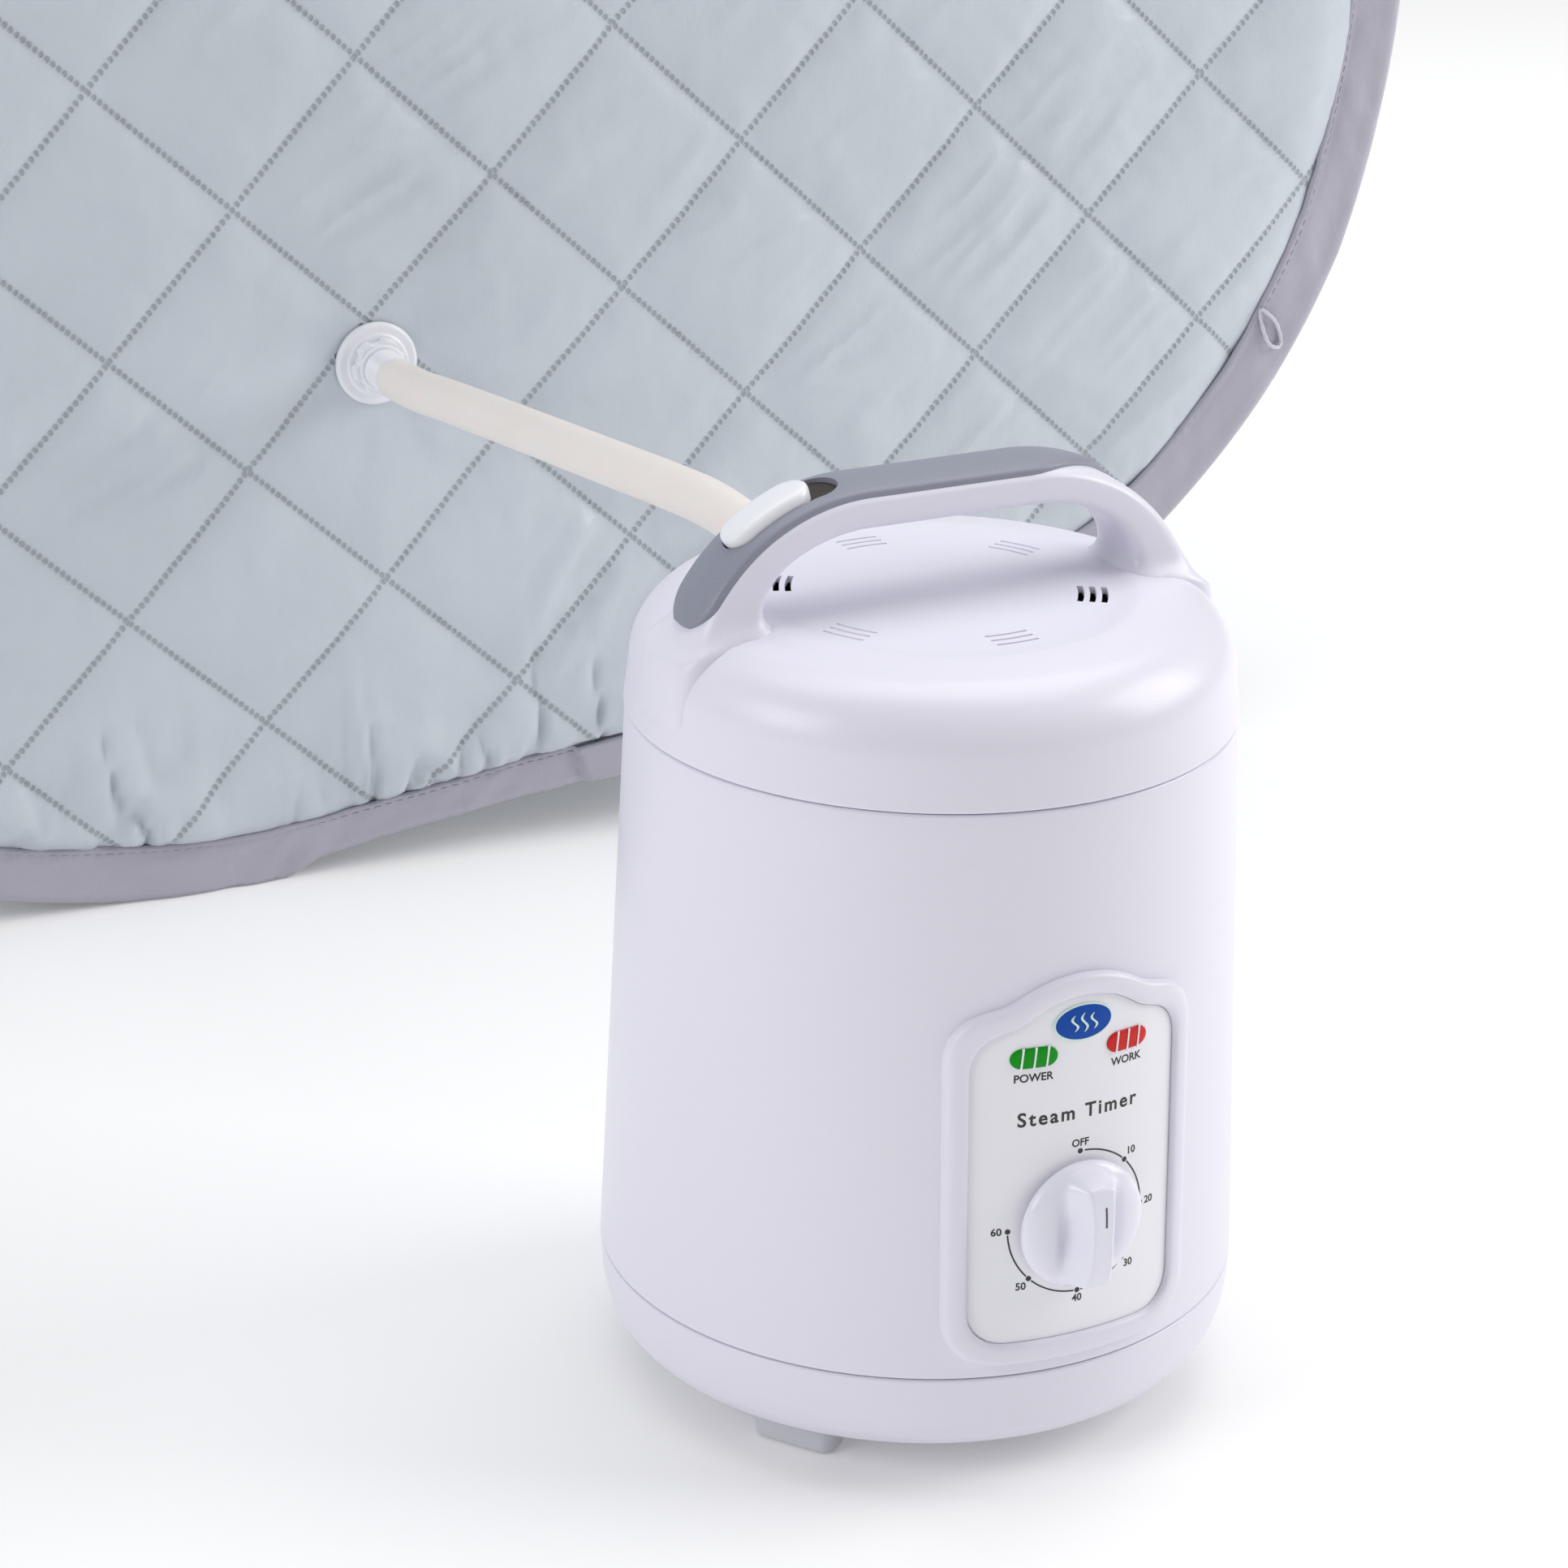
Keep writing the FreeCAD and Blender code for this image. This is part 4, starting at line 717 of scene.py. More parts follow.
def quilt(name, body, replaces, u_span, v_span, step, place, inside, outer, inner,
          flat_back=False):
    """A padded cloth wall as a closed mesh over a grid of (u, v), in millimetres.

    place gives the middle surface and its outward normal, inside says which cells are cloth,
    and outer and inner give the height of each face over the middle surface. v_span is a
    span to be cut into steps, or every v. flat_back closes the back with one flat face.
    """
    us = np.linspace(*u_span, math.ceil((u_span[1] - u_span[0]) / step) + 1)
    vs = np.asarray(v_span, float)
    if len(vs) == 2:
        vs = np.linspace(*v_span, math.ceil((v_span[1] - v_span[0]) / step) + 1)
    u, v = np.meshgrid(us, vs, indexing="ij")
    cloth = inside((u[:-1, :-1] + u[1:, 1:]) / 2, (v[:-1, :-1] + v[1:, 1:]) / 2)
    spot, normal = place(u, v)
    columns = len(vs)
    i, j = np.nonzero(cloth)
    near, far = i * columns + j, (i + 1) * columns + j
    quads = np.stack([near, far, far + 1, near + 1], -1)

    padded = np.pad(cloth, 1)
    rims = []
    for di, dj, first, second in ((-1, 0, near + 1, near), (1, 0, far, far + 1),
                                  (0, -1, near, far), (0, 1, far + 1, near + 1)):
        edge = ~padded[i + 1 + di, j + 1 + dj]
        rims.append(np.stack([first[edge], second[edge]], -1))
    rims = np.concatenate(rims)

    top = (spot + normal * outer(u, v)[..., None]).reshape(-1, 3)
    low = (spot - normal * inner(u, v)[..., None]).reshape(-1, 3)
    total = len(top)
    walls = np.stack([rims[:, 1], rims[:, 0], rims[:, 0] + total, rims[:, 1] + total], -1)
    faces = quads.tolist() + walls.tolist()
    if flat_back:
        following = dict(rims.tolist())
        loop = [int(rims[0, 0])]
        while following[loop[-1]] != loop[0]:
            loop.append(int(following[loop[-1]]))
        faces.append([index + total for index in loop[::-1]])
    else:
        faces += (quads[:, ::-1] + total).tolist()
    used = np.unique(np.concatenate([np.ravel(face) for face in (quads, walls)] + [
        np.array([], int) if flat_back else np.ravel(quads) + total]))
    number = np.full(2 * total, -1)
    number[used] = np.arange(len(used))
    faces = [[int(number[index]) for index in face] for face in faces]
    points = np.concatenate([top, low])[used]

    piece = add_mesh(name, (points, faces), "tent_fabric", replaces, body=body, sharp=0)
    s, t = lattice(u, v)
    flat = np.stack([np.tile(s.ravel(), 2), np.tile(t.ravel(), 2)], -1)[used]
    corners = np.empty(len(piece.data.loops), int)
    piece.data.loops.foreach_get("vertex_index", corners)
    layer = piece.data.uv_layers.new(name="lattice")
    layer.data.foreach_set("uv", flat[corners].astype(np.float32).ravel())
    return outwards(piece)


def flat_wall(y, facing):
    """place() of a wall in the plane y, whose outside faces along facing (-1 or +1)."""
    def place(u, v):
        spot = np.stack([u, np.full_like(u, y), v], -1)
        normal = np.zeros_like(spot)
        normal[..., 1] = facing
        return spot, normal
    return place


def gathers(x, z, depth):
    """Upright folds where the cloth is drawn into the lower binding."""
    lean = x + 0.12 * (z - 60)
    past = np.maximum(depth - BINDING_WIDTH, 0)
    low_down = ease(250 - z, 70, 205) * ease(depth, 25, 30)
    patches = ease(noise(x, z, 48, 400, 23), -0.5, 0.35) * low_down
    fine = ease(1 - abs(noise(lean, z, 4.4, 60, 21)), 0.5, 1)
    deep = ease(1 - abs(noise(lean, z, 12, 80, 22)), 0.7, 1)
    climb = 34 + 20 * noise(x, 0, 14, 1, 24)
    return patches * (2.0 * (1 - fine) * np.exp(-(past / 17) ** 2)
                      + 5.5 * (1 - deep) * np.exp(-(past / climb) ** 2))


def rumples(x, z):
    """Shallow satin creases that wander over the lower middle of the wall."""
    bent = 24 * noise(x, z, 120, 120, 41)
    along = 0.80 * x + 0.60 * z + bent
    across = -0.60 * x + 0.80 * z + bent
    crease = 1 - abs(noise(along, across, 75, 11, 42))
    patch = ease(noise(x, z, 95, 95, 43), -0.15, 0.5)
    region = 0.35 + 0.65 * np.exp(-(((x - 90) / 190) ** 2 + ((z - 170) / 130) ** 2))
    return 3.0 * patch * region * ease(crease, 0.5, 1.0)


def rear_wall():
    """The quilted wall that the photograph faces, and the lining behind it."""
    def inside(x, z):
        depth = hoop_depth(x, z)
        return (depth + hoop_bend(x, z, HEM_OUT) > 7) & (depth + hoop_bend(x, z) > 5)

    def outer(x, z):
        depth = hoop_depth(x, z) + hoop_bend(x, z, HEM_OUT)
        held = ease(depth, 20, 52)
        port = np.hypot(x - PORT[0], z - PORT[2])
        s, t = lattice(x, z)
        from_seam = QUILT_PITCH * np.minimum(abs(s - np.round(s)), abs(t - np.round(t)))
        swell = (puff(x, z) + rumples(x, z) * (1 - np.exp(-from_seam / 6))) * (0.15 + 0.85 * held)
        turn = np.arctan2(z - PORT[2], x - PORT[0])
        pull = 0.9 * noise(turn * 4.5, port, 1, 60, 31) * np.exp(-abs(port - 30) / 16)
        slack = 2.4 * (1 + noise(x, z, 170, 140, 32)) + 1.7 * (1 + noise(x, z, 70, 55, 33))
        rim = np.exp(-np.maximum(depth - 24, 0) / 16) * noise(x + z, x - z, 13, 200, 34)
        height = (THICK / 2 - 1.2 - 1.3 * (1 - ease(depth, 25, 33))
                  + swell * (0.1 + 0.9 * ease(port, 17, 44)) + gathers(x, z, depth)
                  + pull * ease(port, 16, 22) + slack * held * ease(port, 20, 90) + 0.8 * rim * held)
        return np.maximum(height, 0.2)

    middle = REAR + THICK / 2
    edge = HALF_WIDTH + 4
    levels = np.concatenate([np.arange(-2, 478, 2.8), np.linspace(478, HEIGHT + 4, 106)])
    quilt("rear_quilt", "sauna", ["rear_panel"], (-edge, edge), levels, 2.8,
          flat_wall(middle, -1), inside, outer, lambda x, z: np.full_like(x, 0.3), True)

    def lining(x, z):
        return THICK / 2 - 2.6 + puff(x, z, 3.2, 10, 43) * ease(hoop_depth(x, z), 16, 48)

    quilt("rear_lining", "sauna", [], (-edge, edge), (-2, HEIGHT + 4), 6.0,
          flat_wall(middle + 0.4, 1), inside, lining, lambda x, z: np.full_like(x, 0.1), True)


def opening_boxes():
    """The front wall's openings as (x low, x high, z low, z high), from the flaps that fill them."""
    gap = 0.8
    boxes = []
    for names in (("door_left", "door_right"), ("hand_flap_left",), ("hand_flap_right",)):
        lows, highs = zip(*(node_box(name) for name in names))
        boxes.append((min(low[0] for low in lows) - gap, max(high[0] for high in highs) + gap,
                      lows[0][2] - gap, highs[0][2] + gap))
    return boxes


def rectangle_depth(x, z, rectangle):
    """Distance inside a rectangle; negative outside it."""
    x_low, x_high, z_low, z_high = rectangle
    return np.minimum(np.minimum(x - x_low, x_high - x), np.minimum(z - z_low, z_high - z))


def front_wall():
    """The wall with the zipped door and the two hand openings."""
    holes = opening_boxes()

    def away(x, z):
        return np.min([-rectangle_depth(x, z, hole) for hole in holes], axis=0)

    def inside(x, z):
        return (hoop_depth(x, z) > 7) & (away(x, z) > 0.4)

    def outer(x, z):
        held = ease(hoop_depth(x, z), 20, 52) * ease(away(x, z), 2, 26)
        slack = 2.0 * noise(x, z, 170, 150, 52)
        return THICK / 2 - 2.2 + (puff(x, z, 3.6, 10, 53) + slack) * held

    middle = FRONT - THICK / 2
    edge = HALF_WIDTH + 4
    quilt("front_quilt", "sauna", ["front_panel"], (-edge, edge), (-2, HEIGHT + 4), 5.2,
          flat_wall(middle, 1), inside, outer,
          lambda x, z: THICK / 2 - 2.4 + puff(x, z, 2.4, 10, 57) * ease(away(x, z), 2, 26))


def flap(name, node, body, seed):
    """A quilted flap that fills one opening of the front wall."""
    low, high = node_box(node)
    rectangle = (low[0], high[0], low[2], high[2])

    def face(height):
        def surface(x, z):
            depth = rectangle_depth(x, z, rectangle)
            round_edge = np.sqrt(np.clip(1 - (1 - np.clip(depth / 3.5, 0, 1)) ** 2, 0, 1))
            padding = puff(x, z, height, 9, seed) * ease(depth, 3, 24)
            return 0.4 + round_edge * (THICK / 2 - 2.4) + padding
        return surface

    quilt(name, body, [node], rectangle[:2], rectangle[2:], 4.4, flat_wall(FRONT - THICK / 2, 1),
          lambda x, z: np.ones(x.shape, bool), face(2.2), face(1.8))


def side_wrap():
    """The quilted band between the hoops, in four pieces with soft bulges between them."""
    x, z, nx, nz, places = hoop_line(2400)
    length = places[-1] + places[1]
    inset = 5.0
    y_low, y_high = REAR + THICK - 2, FRONT - THICK + 2
    split = node_box("floor_panel")[1][0]
    names = {"roof_quilt": "roof_panel", "right_quilt": "right_wall",
             "floor_quilt": "floor_panel", "left_quilt": "left_wall"}
    top_turn = np.interp(split, x[:600], places[:600])
    low_turn = length / 2 - top_turn
    spans = {"roof_quilt": (-top_turn, top_turn), "right_quilt": (top_turn, low_turn),
             "floor_quilt": (low_turn, length - low_turn),
             "left_quilt": (length - low_turn, length - top_turn)}
    neck = node_middle("neck_collar")
    hem_low, hem_high = node_box("neck_hem")
    neck_radius = (hem_high[0] - hem_low[0]) / 2 - 3

    def place(u, v):
        turn = np.mod(u, length)
        wrapped = np.append(places, length)
        px = np.interp(turn, wrapped, np.append(x, x[0]))
        pz = np.interp(turn, wrapped, np.append(z, z[0]))
        normal = np.stack([np.interp(turn, wrapped, np.append(nx, nx[0])), np.zeros_like(px),
                           np.interp(turn, wrapped, np.append(nz, nz[0]))], -1)
        normal /= np.linalg.norm(normal, axis=-1, keepdims=True)
        bend = hoop_bend(px, pz) * (1 - ease(v, y_low, y_low + 220))
        spot = np.stack([px, v, pz], -1) - normal * (inset - bend)[..., None]
        return spot, normal

    for name, node in names.items():
        def past_neck(spot):
            far = np.hypot(spot[..., 0] - neck[0], spot[..., 1] - neck[1]) - neck_radius
            return np.where(spot[..., 2] > MIDDLE, far, 1e3)

        def inside(u, v):
            return past_neck(place(u, v)[0]) > 0

        def outer(u, v):
            spot, _ = place(u, v)
            from_hoop = np.minimum(v - y_low, y_high - v)
            held = ease(from_hoop, 4, 40) * ease(past_neck(spot), 4, 40)
            fold = 1 - abs(noise(u, v, 11, 90, 61))
            drawn = np.exp(-np.maximum(from_hoop, 0) / 45) * ease(from_hoop, 3, 22)
            drawn *= ease(noise(u, v, 120, 500, 62), -0.2, 0.6)
            slack = 3.0 * noise(u, v, 210, 180, 63)
            raised = puff(u, v, 3.6, 10, 65) * (0.15 + 0.85 * held)
            floor_part = ease(60 - spot[..., 2], 0, 40)
            lift = 0.4 + raised + slack * held * 0.6 + 3.2 * drawn * (fold ** 2 - 0.4)
            return lift * (1 - floor_part) + np.minimum(lift, 3.0) * 0.5 * floor_part

        def inner(u, v):
            return 2.4 + puff(u, v, 2.0, 11, 67) * ease(np.minimum(v - y_low, y_high - v), 4, 40)

        quilt(name, "sauna", [node], spans[name], (y_low, y_high), 5.4, place, inside, outer, inner)


def binding(name, node, y_middle, facing, bent, seed):
    """Satin ribbon folded over the hoop and the wall's edge, with its hem and drag lines."""
    x, z, nx, nz, places = hoop_line(2000)
    half = THICK / 2
    section = np.array([
        (BINDING_WIDTH - 6, half - 3.4), (BINDING_WIDTH - 0.5, half - 0.9), (BINDING_WIDTH, half - 0.2),
        (BINDING_WIDTH - 0.7, half + 0.8), (BINDING_WIDTH - 2.2, half + 1.2),
        (BINDING_WIDTH - 3.2, half + 0.75), (BINDING_WIDTH - 5, half + 1.1),
        (18, half + 1.3), (13, half + 1.0), (9.5, half + 1.1), (6.5, half + 1.7), (4, half + 1.7),
        (2, half + 0.6), (0.6, half - 1.6), (0, 0),
    ])
    mirrored = section[::-1][1:] * (1, -1)
    section = np.concatenate([section, mirrored])
    count = len(section)
    offset = np.broadcast_to(section[:, 0], (len(x), count)).copy()
    level = np.broadcast_to(section[:, 1], (len(x), count)).copy()
    along = np.broadcast_to(places[:, None], offset.shape)
    skin = np.sign(level)
    face = ease(abs(level), 1, half) * ease(offset, 0.5, 7)
    drags = noise(along + 0.9 * offset, offset, 10, 26, seed) + 0.8 * noise(
        along - 0.5 * offset, offset, 23, 30, seed + 1)
    swell = noise(along, offset * 0, 70, 1, seed + 2)
    level = level + skin * face * (1.2 * drags + 0.9 * swell) * ease(BINDING_WIDTH - offset, 3, 9)
    hem = ease(offset, BINDING_WIDTH - 7, BINDING_WIDTH)
    offset = offset + hem * (0.9 * noise(along, 0 * along, 44, 1, seed + 3)
                             + 0.35 * noise(along, 0 * along, 9, 1, seed + 4))
    outline = (1 - hem) * (0.35 * noise(along, 0 * along, 55, 1, seed + 5))
    if bent:
        # The ribbon's end is folded under and laps over its own start.
        slant = ease(x[:, None] + 0.22 * (offset - 13), 86, 87.2)
        over = slant * (1 - ease(x, 150, 175))[:, None] * (z < MIDDLE)[:, None]
        level = level + skin * face * 3.0 * over
        outline = outline + 1.2 * over
    share = np.clip(offset / BINDING_WIDTH, 0, 1)
    bend = hoop_bend(x, z)[:, None] * (1 - share) + hoop_bend(x, z, HEM_OUT)[:, None] * share
    out = bend * bent - offset + outline
    points = np.stack([x[:, None] + nx[:, None] * out, y_middle - facing * level,
                       np.maximum(z[:, None] + nz[:, None] * out, 0.05)], -1)
    solid(name, tube(points), "binding_fabric", [node], sharp=0)


def spring_hoop(name, node, y_middle, bent):
    """The round spring wire inside a binding."""
    x, z, nx, nz, _ = hoop_line(720)
    bend = hoop_bend(x, z) * bent
    around = circle(12)
    reach = bend[:, None] - 3.5 + 2 * np.cos(around)
    points = np.stack([x[:, None] + nx[:, None] * reach,
                       np.broadcast_to(y_middle + 2 * np.sin(around), reach.shape),
                       z[:, None] + nz[:, None] * reach], -1)
    solid(name, tube(points), "spring_wire", [node])


def stitches(name, y_face, facing, bent):
    """The row of machine stitches along the binding's hem."""
    x, z, nx, nz, _ = hoop_line(680)
    bend = hoop_bend(x, z, HEM_OUT) * bent
    shape = rounded([(-1.25, -0.28, 0.25), (1.25, -0.28, 0.25), (1.25, 0.28, 0.25),
                     (-1.25, 0.28, 0.25)], 2)
    body, faces = prism(shape, -0.22, 0.22, "z")
    lift = np.array([0, facing, 0])
    parts = []
    for px, pz, ox, oz, out in zip(x, z, nx, nz, bend):
        reach = out - (BINDING_WIDTH - 2.9)
        centre = np.array([px + ox * reach, y_face, max(pz + oz * reach, 0.3)])
        side = np.array([-oz, 0, ox])
        across = np.array([ox, 0, oz])
        parts.append((centre + body[:, :1] * side + body[:, 1:2] * across + body[:, 2:] * lift, faces))
    add_mesh(name, merged(parts), "binding_fabric")


def collar():
    """The gathered neck collar."""
    low, high = node_box("neck_collar")
    centre = (low + high) / 2
    radius = (high[0] - low[0]) / 2
    height = high[2] - low[2]
    strap_level = (node_middle("neck_strap")[2] - low[2]) / height
    share, turn = np.meshgrid(np.linspace(0, 1, 34), circle(360), indexing="ij")

    def surface(thickness):
        loose = 0.35 + 0.65 * ease(abs(share - strap_level), 0.08, 0.35)
        fold = noise(turn * ROUND, share * 30, 8.5, 60, 71)
        fold += 0.5 * noise(turn * ROUND, share * 30, 4, 30, 72)
        fold *= 1 - ease(turn, 6.0, 6.28) * 0.9
        flare = 5.5 * ease(0.18 - share, 0, 0.18) + 1.5 * ease(share, 0.7, 1)
        reach = radius - 3.2 + flare + 3.0 * fold * loose - thickness
        top = low[2] - 3 + share * (height + 3) - 1.4 * ease(share, 0.9, 1) * abs(fold)
        return np.stack([centre[0] + reach * np.cos(turn), centre[1] + reach * np.sin(turn), top], -1)

    cloth = np.concatenate([surface(0), surface(2.2)[::-1]])
    piece = solid("gathered_collar", tube(cloth), "collar_fabric", ["neck_collar"], sharp=0)


def collar_strap():
    """The strap that draws the collar in, and its tab."""
    centre = node_middle("neck_collar")
    radius = node_box("neck_collar")[1][0] - centre[0]
    middle = node_middle("neck_strap")[2]
    section = rounded([(-0.7, -10, 0.6), (0.7, -10, 0.6), (0.7, 10, 0.6), (-0.7, 10, 0.6)], 3)
    turns = circle(240)[:, None]
    spread = section[None, :, 0] + radius + 0.9 + 0.5 * noise(turns * ROUND, 0, 14, 1, 73)
    band = np.stack([centre[0] + spread * np.cos(turns), centre[1] + spread * np.sin(turns),
                     np.broadcast_to(middle + section[:, 1], spread.shape)], -1)
    outline = rounded([(-23, -9, 2), (19, -9, 8), (19, 9, 8), (-23, 9, 2)])
    tab = prism(outline, centre[1] + radius + 0.9, centre[1] + radius + 2.6)
    tab[0][:, 2] += middle
    bevel(solid("collar_strap", merged([tube(band), tab]), "binding_fabric", ["neck_strap"]), 0.3, 2, 50)


def neck_hem():
    """The flat ribbon that binds the neck hole to the quilted roof."""
    low, high = node_box("neck_hem")
    centre, outer = (low + high) / 2, (high[0] - low[0]) / 2
    collar_low, collar_high = node_box("neck_collar")
    inner = (collar_high[0] - collar_low[0]) / 2 - 2
    section = rounded([(inner, -8, 0), (outer, -8, 1), (outer, 1.4, 1.4), (outer - 3, 2.4, 1),
                       (inner + 3, 2.2, 1), (inner, 2.0, 0)], 4)
    reach, turn = np.meshgrid(section[:, 0], circle(300), indexing="ij")
    across = reach * np.cos(turn)
    past_flat = np.maximum(abs(across) - FLAT_HALF, 0)
    drop = SHALLOW_RADIUS - np.sqrt(SHALLOW_RADIUS ** 2 - past_flat ** 2)
    ripple = 0.7 * noise(turn * ROUND, reach, 9, 12, 77) * ease(section[:, 1], 0, 2)[:, None]
    points = np.stack([centre[0] + across, centre[1] + reach * np.sin(turn),
                       high[2] + section[:, 1:2] - drop + ripple], -1)
    solid("neck_ribbon", tube(points), "binding_fabric", ["neck_hem"])


def tie_loop():
    """A twisted thread loop that hangs from the binding's inner edge."""
    centre = node_middle("tie_loop")
    turns = circle(96)
    across = 3.4 * np.sin(turns) * (1 - 0.45 * np.cos(turns))
    down = -9.5 * np.cos(turns) + 0.8 * np.sin(3 * turns)
    lean = math.radians(26)
    x = centre[0] - 1.5 + across * math.cos(lean) + down * math.sin(lean)
    z = centre[2] + 1 - down * math.cos(lean) + across * math.sin(lean)
    y = centre[1] - 1.1 * np.sin(2 * turns) - 0.6
    line = np.stack([x, y, z], -1)
    along = np.roll(line, -1, 0) - np.roll(line, 1, 0)
    along /= np.linalg.norm(along, axis=1)[:, None]
    side = np.cross(along, (0, 1, 0))
    side /= np.linalg.norm(side, axis=1)[:, None]
    other = np.cross(along, side)
    around = circle(12)
    twist = 0.85 + 0.12 * np.cos(2 * around[None, :] + 14 * turns[:, None])
    points = (line[:, None] + side[:, None] * (twist * np.cos(around))[..., None]
              + other[:, None] * (twist * np.sin(around))[..., None])
    solid("thread_loop", tube(points), "binding_fabric", ["tie_loop"], finish="loop_thread")


def zip_tape(name, node, body, side):
    """One woven zip tape with its row of moulded teeth."""
    low, high = node_box(node)
    edge = low[0] if side > 0 else high[0]
    tape = prism([(edge, low[2]), (edge + side * 4, low[2]), (edge + side * 4, high[2]),
                  (edge, high[2])], low[1], low[1] + 0.7)
    parts = [tape]
    tooth = rounded([(-0.35, -0.75, 0.3), (1.9, -0.75, 0.3), (1.9, 0.75, 0.3), (-0.35, 0.75, 0.3)], 2)
    pitch = 3.0
    start = low[2] + (1.2 if side > 0 else 2.7)
    for index in range(int((high[2] - start) / pitch)):
        shape = tooth * (side, 1) + (edge, start + index * pitch)
        parts.append(prism(shape, low[1] + 0.5, low[1] + 1.55))
    piece = add_mesh(name, merged(parts), "zip_tape", [node], body=body)
    piece.data.materials.append(FINISH["zip_teeth"])
    for face in piece.data.polygons:
        face.material_index = int(face.index >= len(tape[1]))
    outwards(piece)


def zips():
    """The door's zip: two toothed tapes and the slider with its pull."""
    zip_tape("zip_teeth_left", "zip_tape_left", "door_leaf_left", -1)
    zip_tape("zip_teeth_right", "zip_tape_right", "door_leaf_right", 1)
    low, high = node_box("zip_slider")
    top = high[2]
    outline = rounded([(-3.2, top - 13, 1.2), (3.2, top - 13, 1.2), (5, top - 4, 2), (3.6, top, 1.5),
                       (-3.6, top, 1.5), (-5, top - 4, 2)])
    outline[:, 0] += (low[0] + high[0]) / 2
    body = prism(outline, low[1], low[1] + 3.2)
    bridge = prism(rounded([(-1.4, top - 11, 1), (1.4, top - 11, 1), (1.4, top - 2, 1),
                            (-1.4, top - 2, 1)]), low[1] + 3, low[1] + 5.8)
    pull = rounded([(-2, top - 11, 1), (2, top - 11, 1), (3, low[2] + 4, 3), (2.2, low[2], 2),
                    (-2.2, low[2], 2), (-3, low[2] + 4, 3)])
    tab = prism(pull + ((low[0] + high[0]) / 2, 0), high[1] - 1.4, high[1])
    bevel(solid("zip_runner", merged([body, bridge, tab]), "zip_metal", ["zip_slider"],
                body="zip_pull"), 0.4, 2)


# ---------------------------------------------------------------- steam port

def steam_port():
    """Flange, lugged nut and ribbed spigot of the port in the rear wall."""
    def turned(profile, start, segments=96):
        points, faces = lathe(profile, segments)
        return points[:, [0, 2, 1]] * (1, -1, 1) + (PORT[0], start, PORT[2]), faces

    ring = rounded([(7.4, -0.6, 0), (16.3, -0.6, 0.4), (16.5, 1.4, 0.7), (15.2, 2.6, 0.9),
                    (12.6, 2.3, 0.8), (11.6, 3.0, 0.5), (7.4, 3.0, 0)])
    solid("port_ring", turned(ring, REAR), "port_plastic", ["port_flange"])

    hexagon = []
    for index in range(6):
        base = index * 60 + 10
        hexagon += [(11.3, base - 12, 0.9), (11.3, base + 12, 0.9), (9.7, base + 20, 0.6),
                    (9.7, base + 40, 0.6)]
    outline = rounded([(r * math.cos(math.radians(a)), r * math.sin(math.radians(a)), fillet)
                       for r, a, fillet in hexagon], 4)
    nut_front = node_box("port_nut")[0][1]
    nut, faces = prism(outline, nut_front, REAR - 3.0)
    nut += (PORT[0], 0, PORT[2])
    crown = rounded([(7.3, 0, 0), (9.2, 0, 0.6), (9.2, 1.5, 0.7), (7.3, 1.5, 0.4)])
    bevel(solid("lugged_nut", merged([(nut, faces), turned(crown, nut_front + 0.2, 72)]),
                "port_plastic", ["port_nut"]), 0.7, 3)

    reach = REAR - node_box("port_spigot")[0][1]
    spigot = [(3.4, -THICK - 1.4), (12.9, -THICK - 1.4), (12.9, -THICK), (7, -THICK), (7, 8.6)]
    for index in range(5):
        rib = 9.2 + 2.4 * index
        spigot += [(7.2, rib), (7.7, rib + 0.5), (7.9, rib + 1.1), (7.6, rib + 1.6), (7.2, rib + 2.0)]
    spigot += [(7.2, 23.0), (4.7, 23.4), (4.7, reach - 1.5), (4.2, reach), (3.4, reach)]
    solid("ribbed_spigot", turned(spigot, REAR), "port_plastic", ["port_spigot"])


# ---------------------------------------------------------------- pot casings

def body_radius(z):
    """The tapered body's outer radius at a height."""
    share = (np.asarray(z, float) - BODY_LOW) / (BODY_TOP - BODY_LOW)
    return BODY_LOW_RADIUS * (1 - share) + BODY_TOP_RADIUS * share


def on_wall(x, z, proud):
    """The spot on the body's front wall above (x, z), standing proud of it."""
    radius = body_radius(z) + proud
    return np.stack([x, -np.sqrt(np.maximum(radius ** 2 - np.asarray(x) ** 2, 0)), z], -1)


WALL = 2.5     # wall thickness of the pot's plastic casings


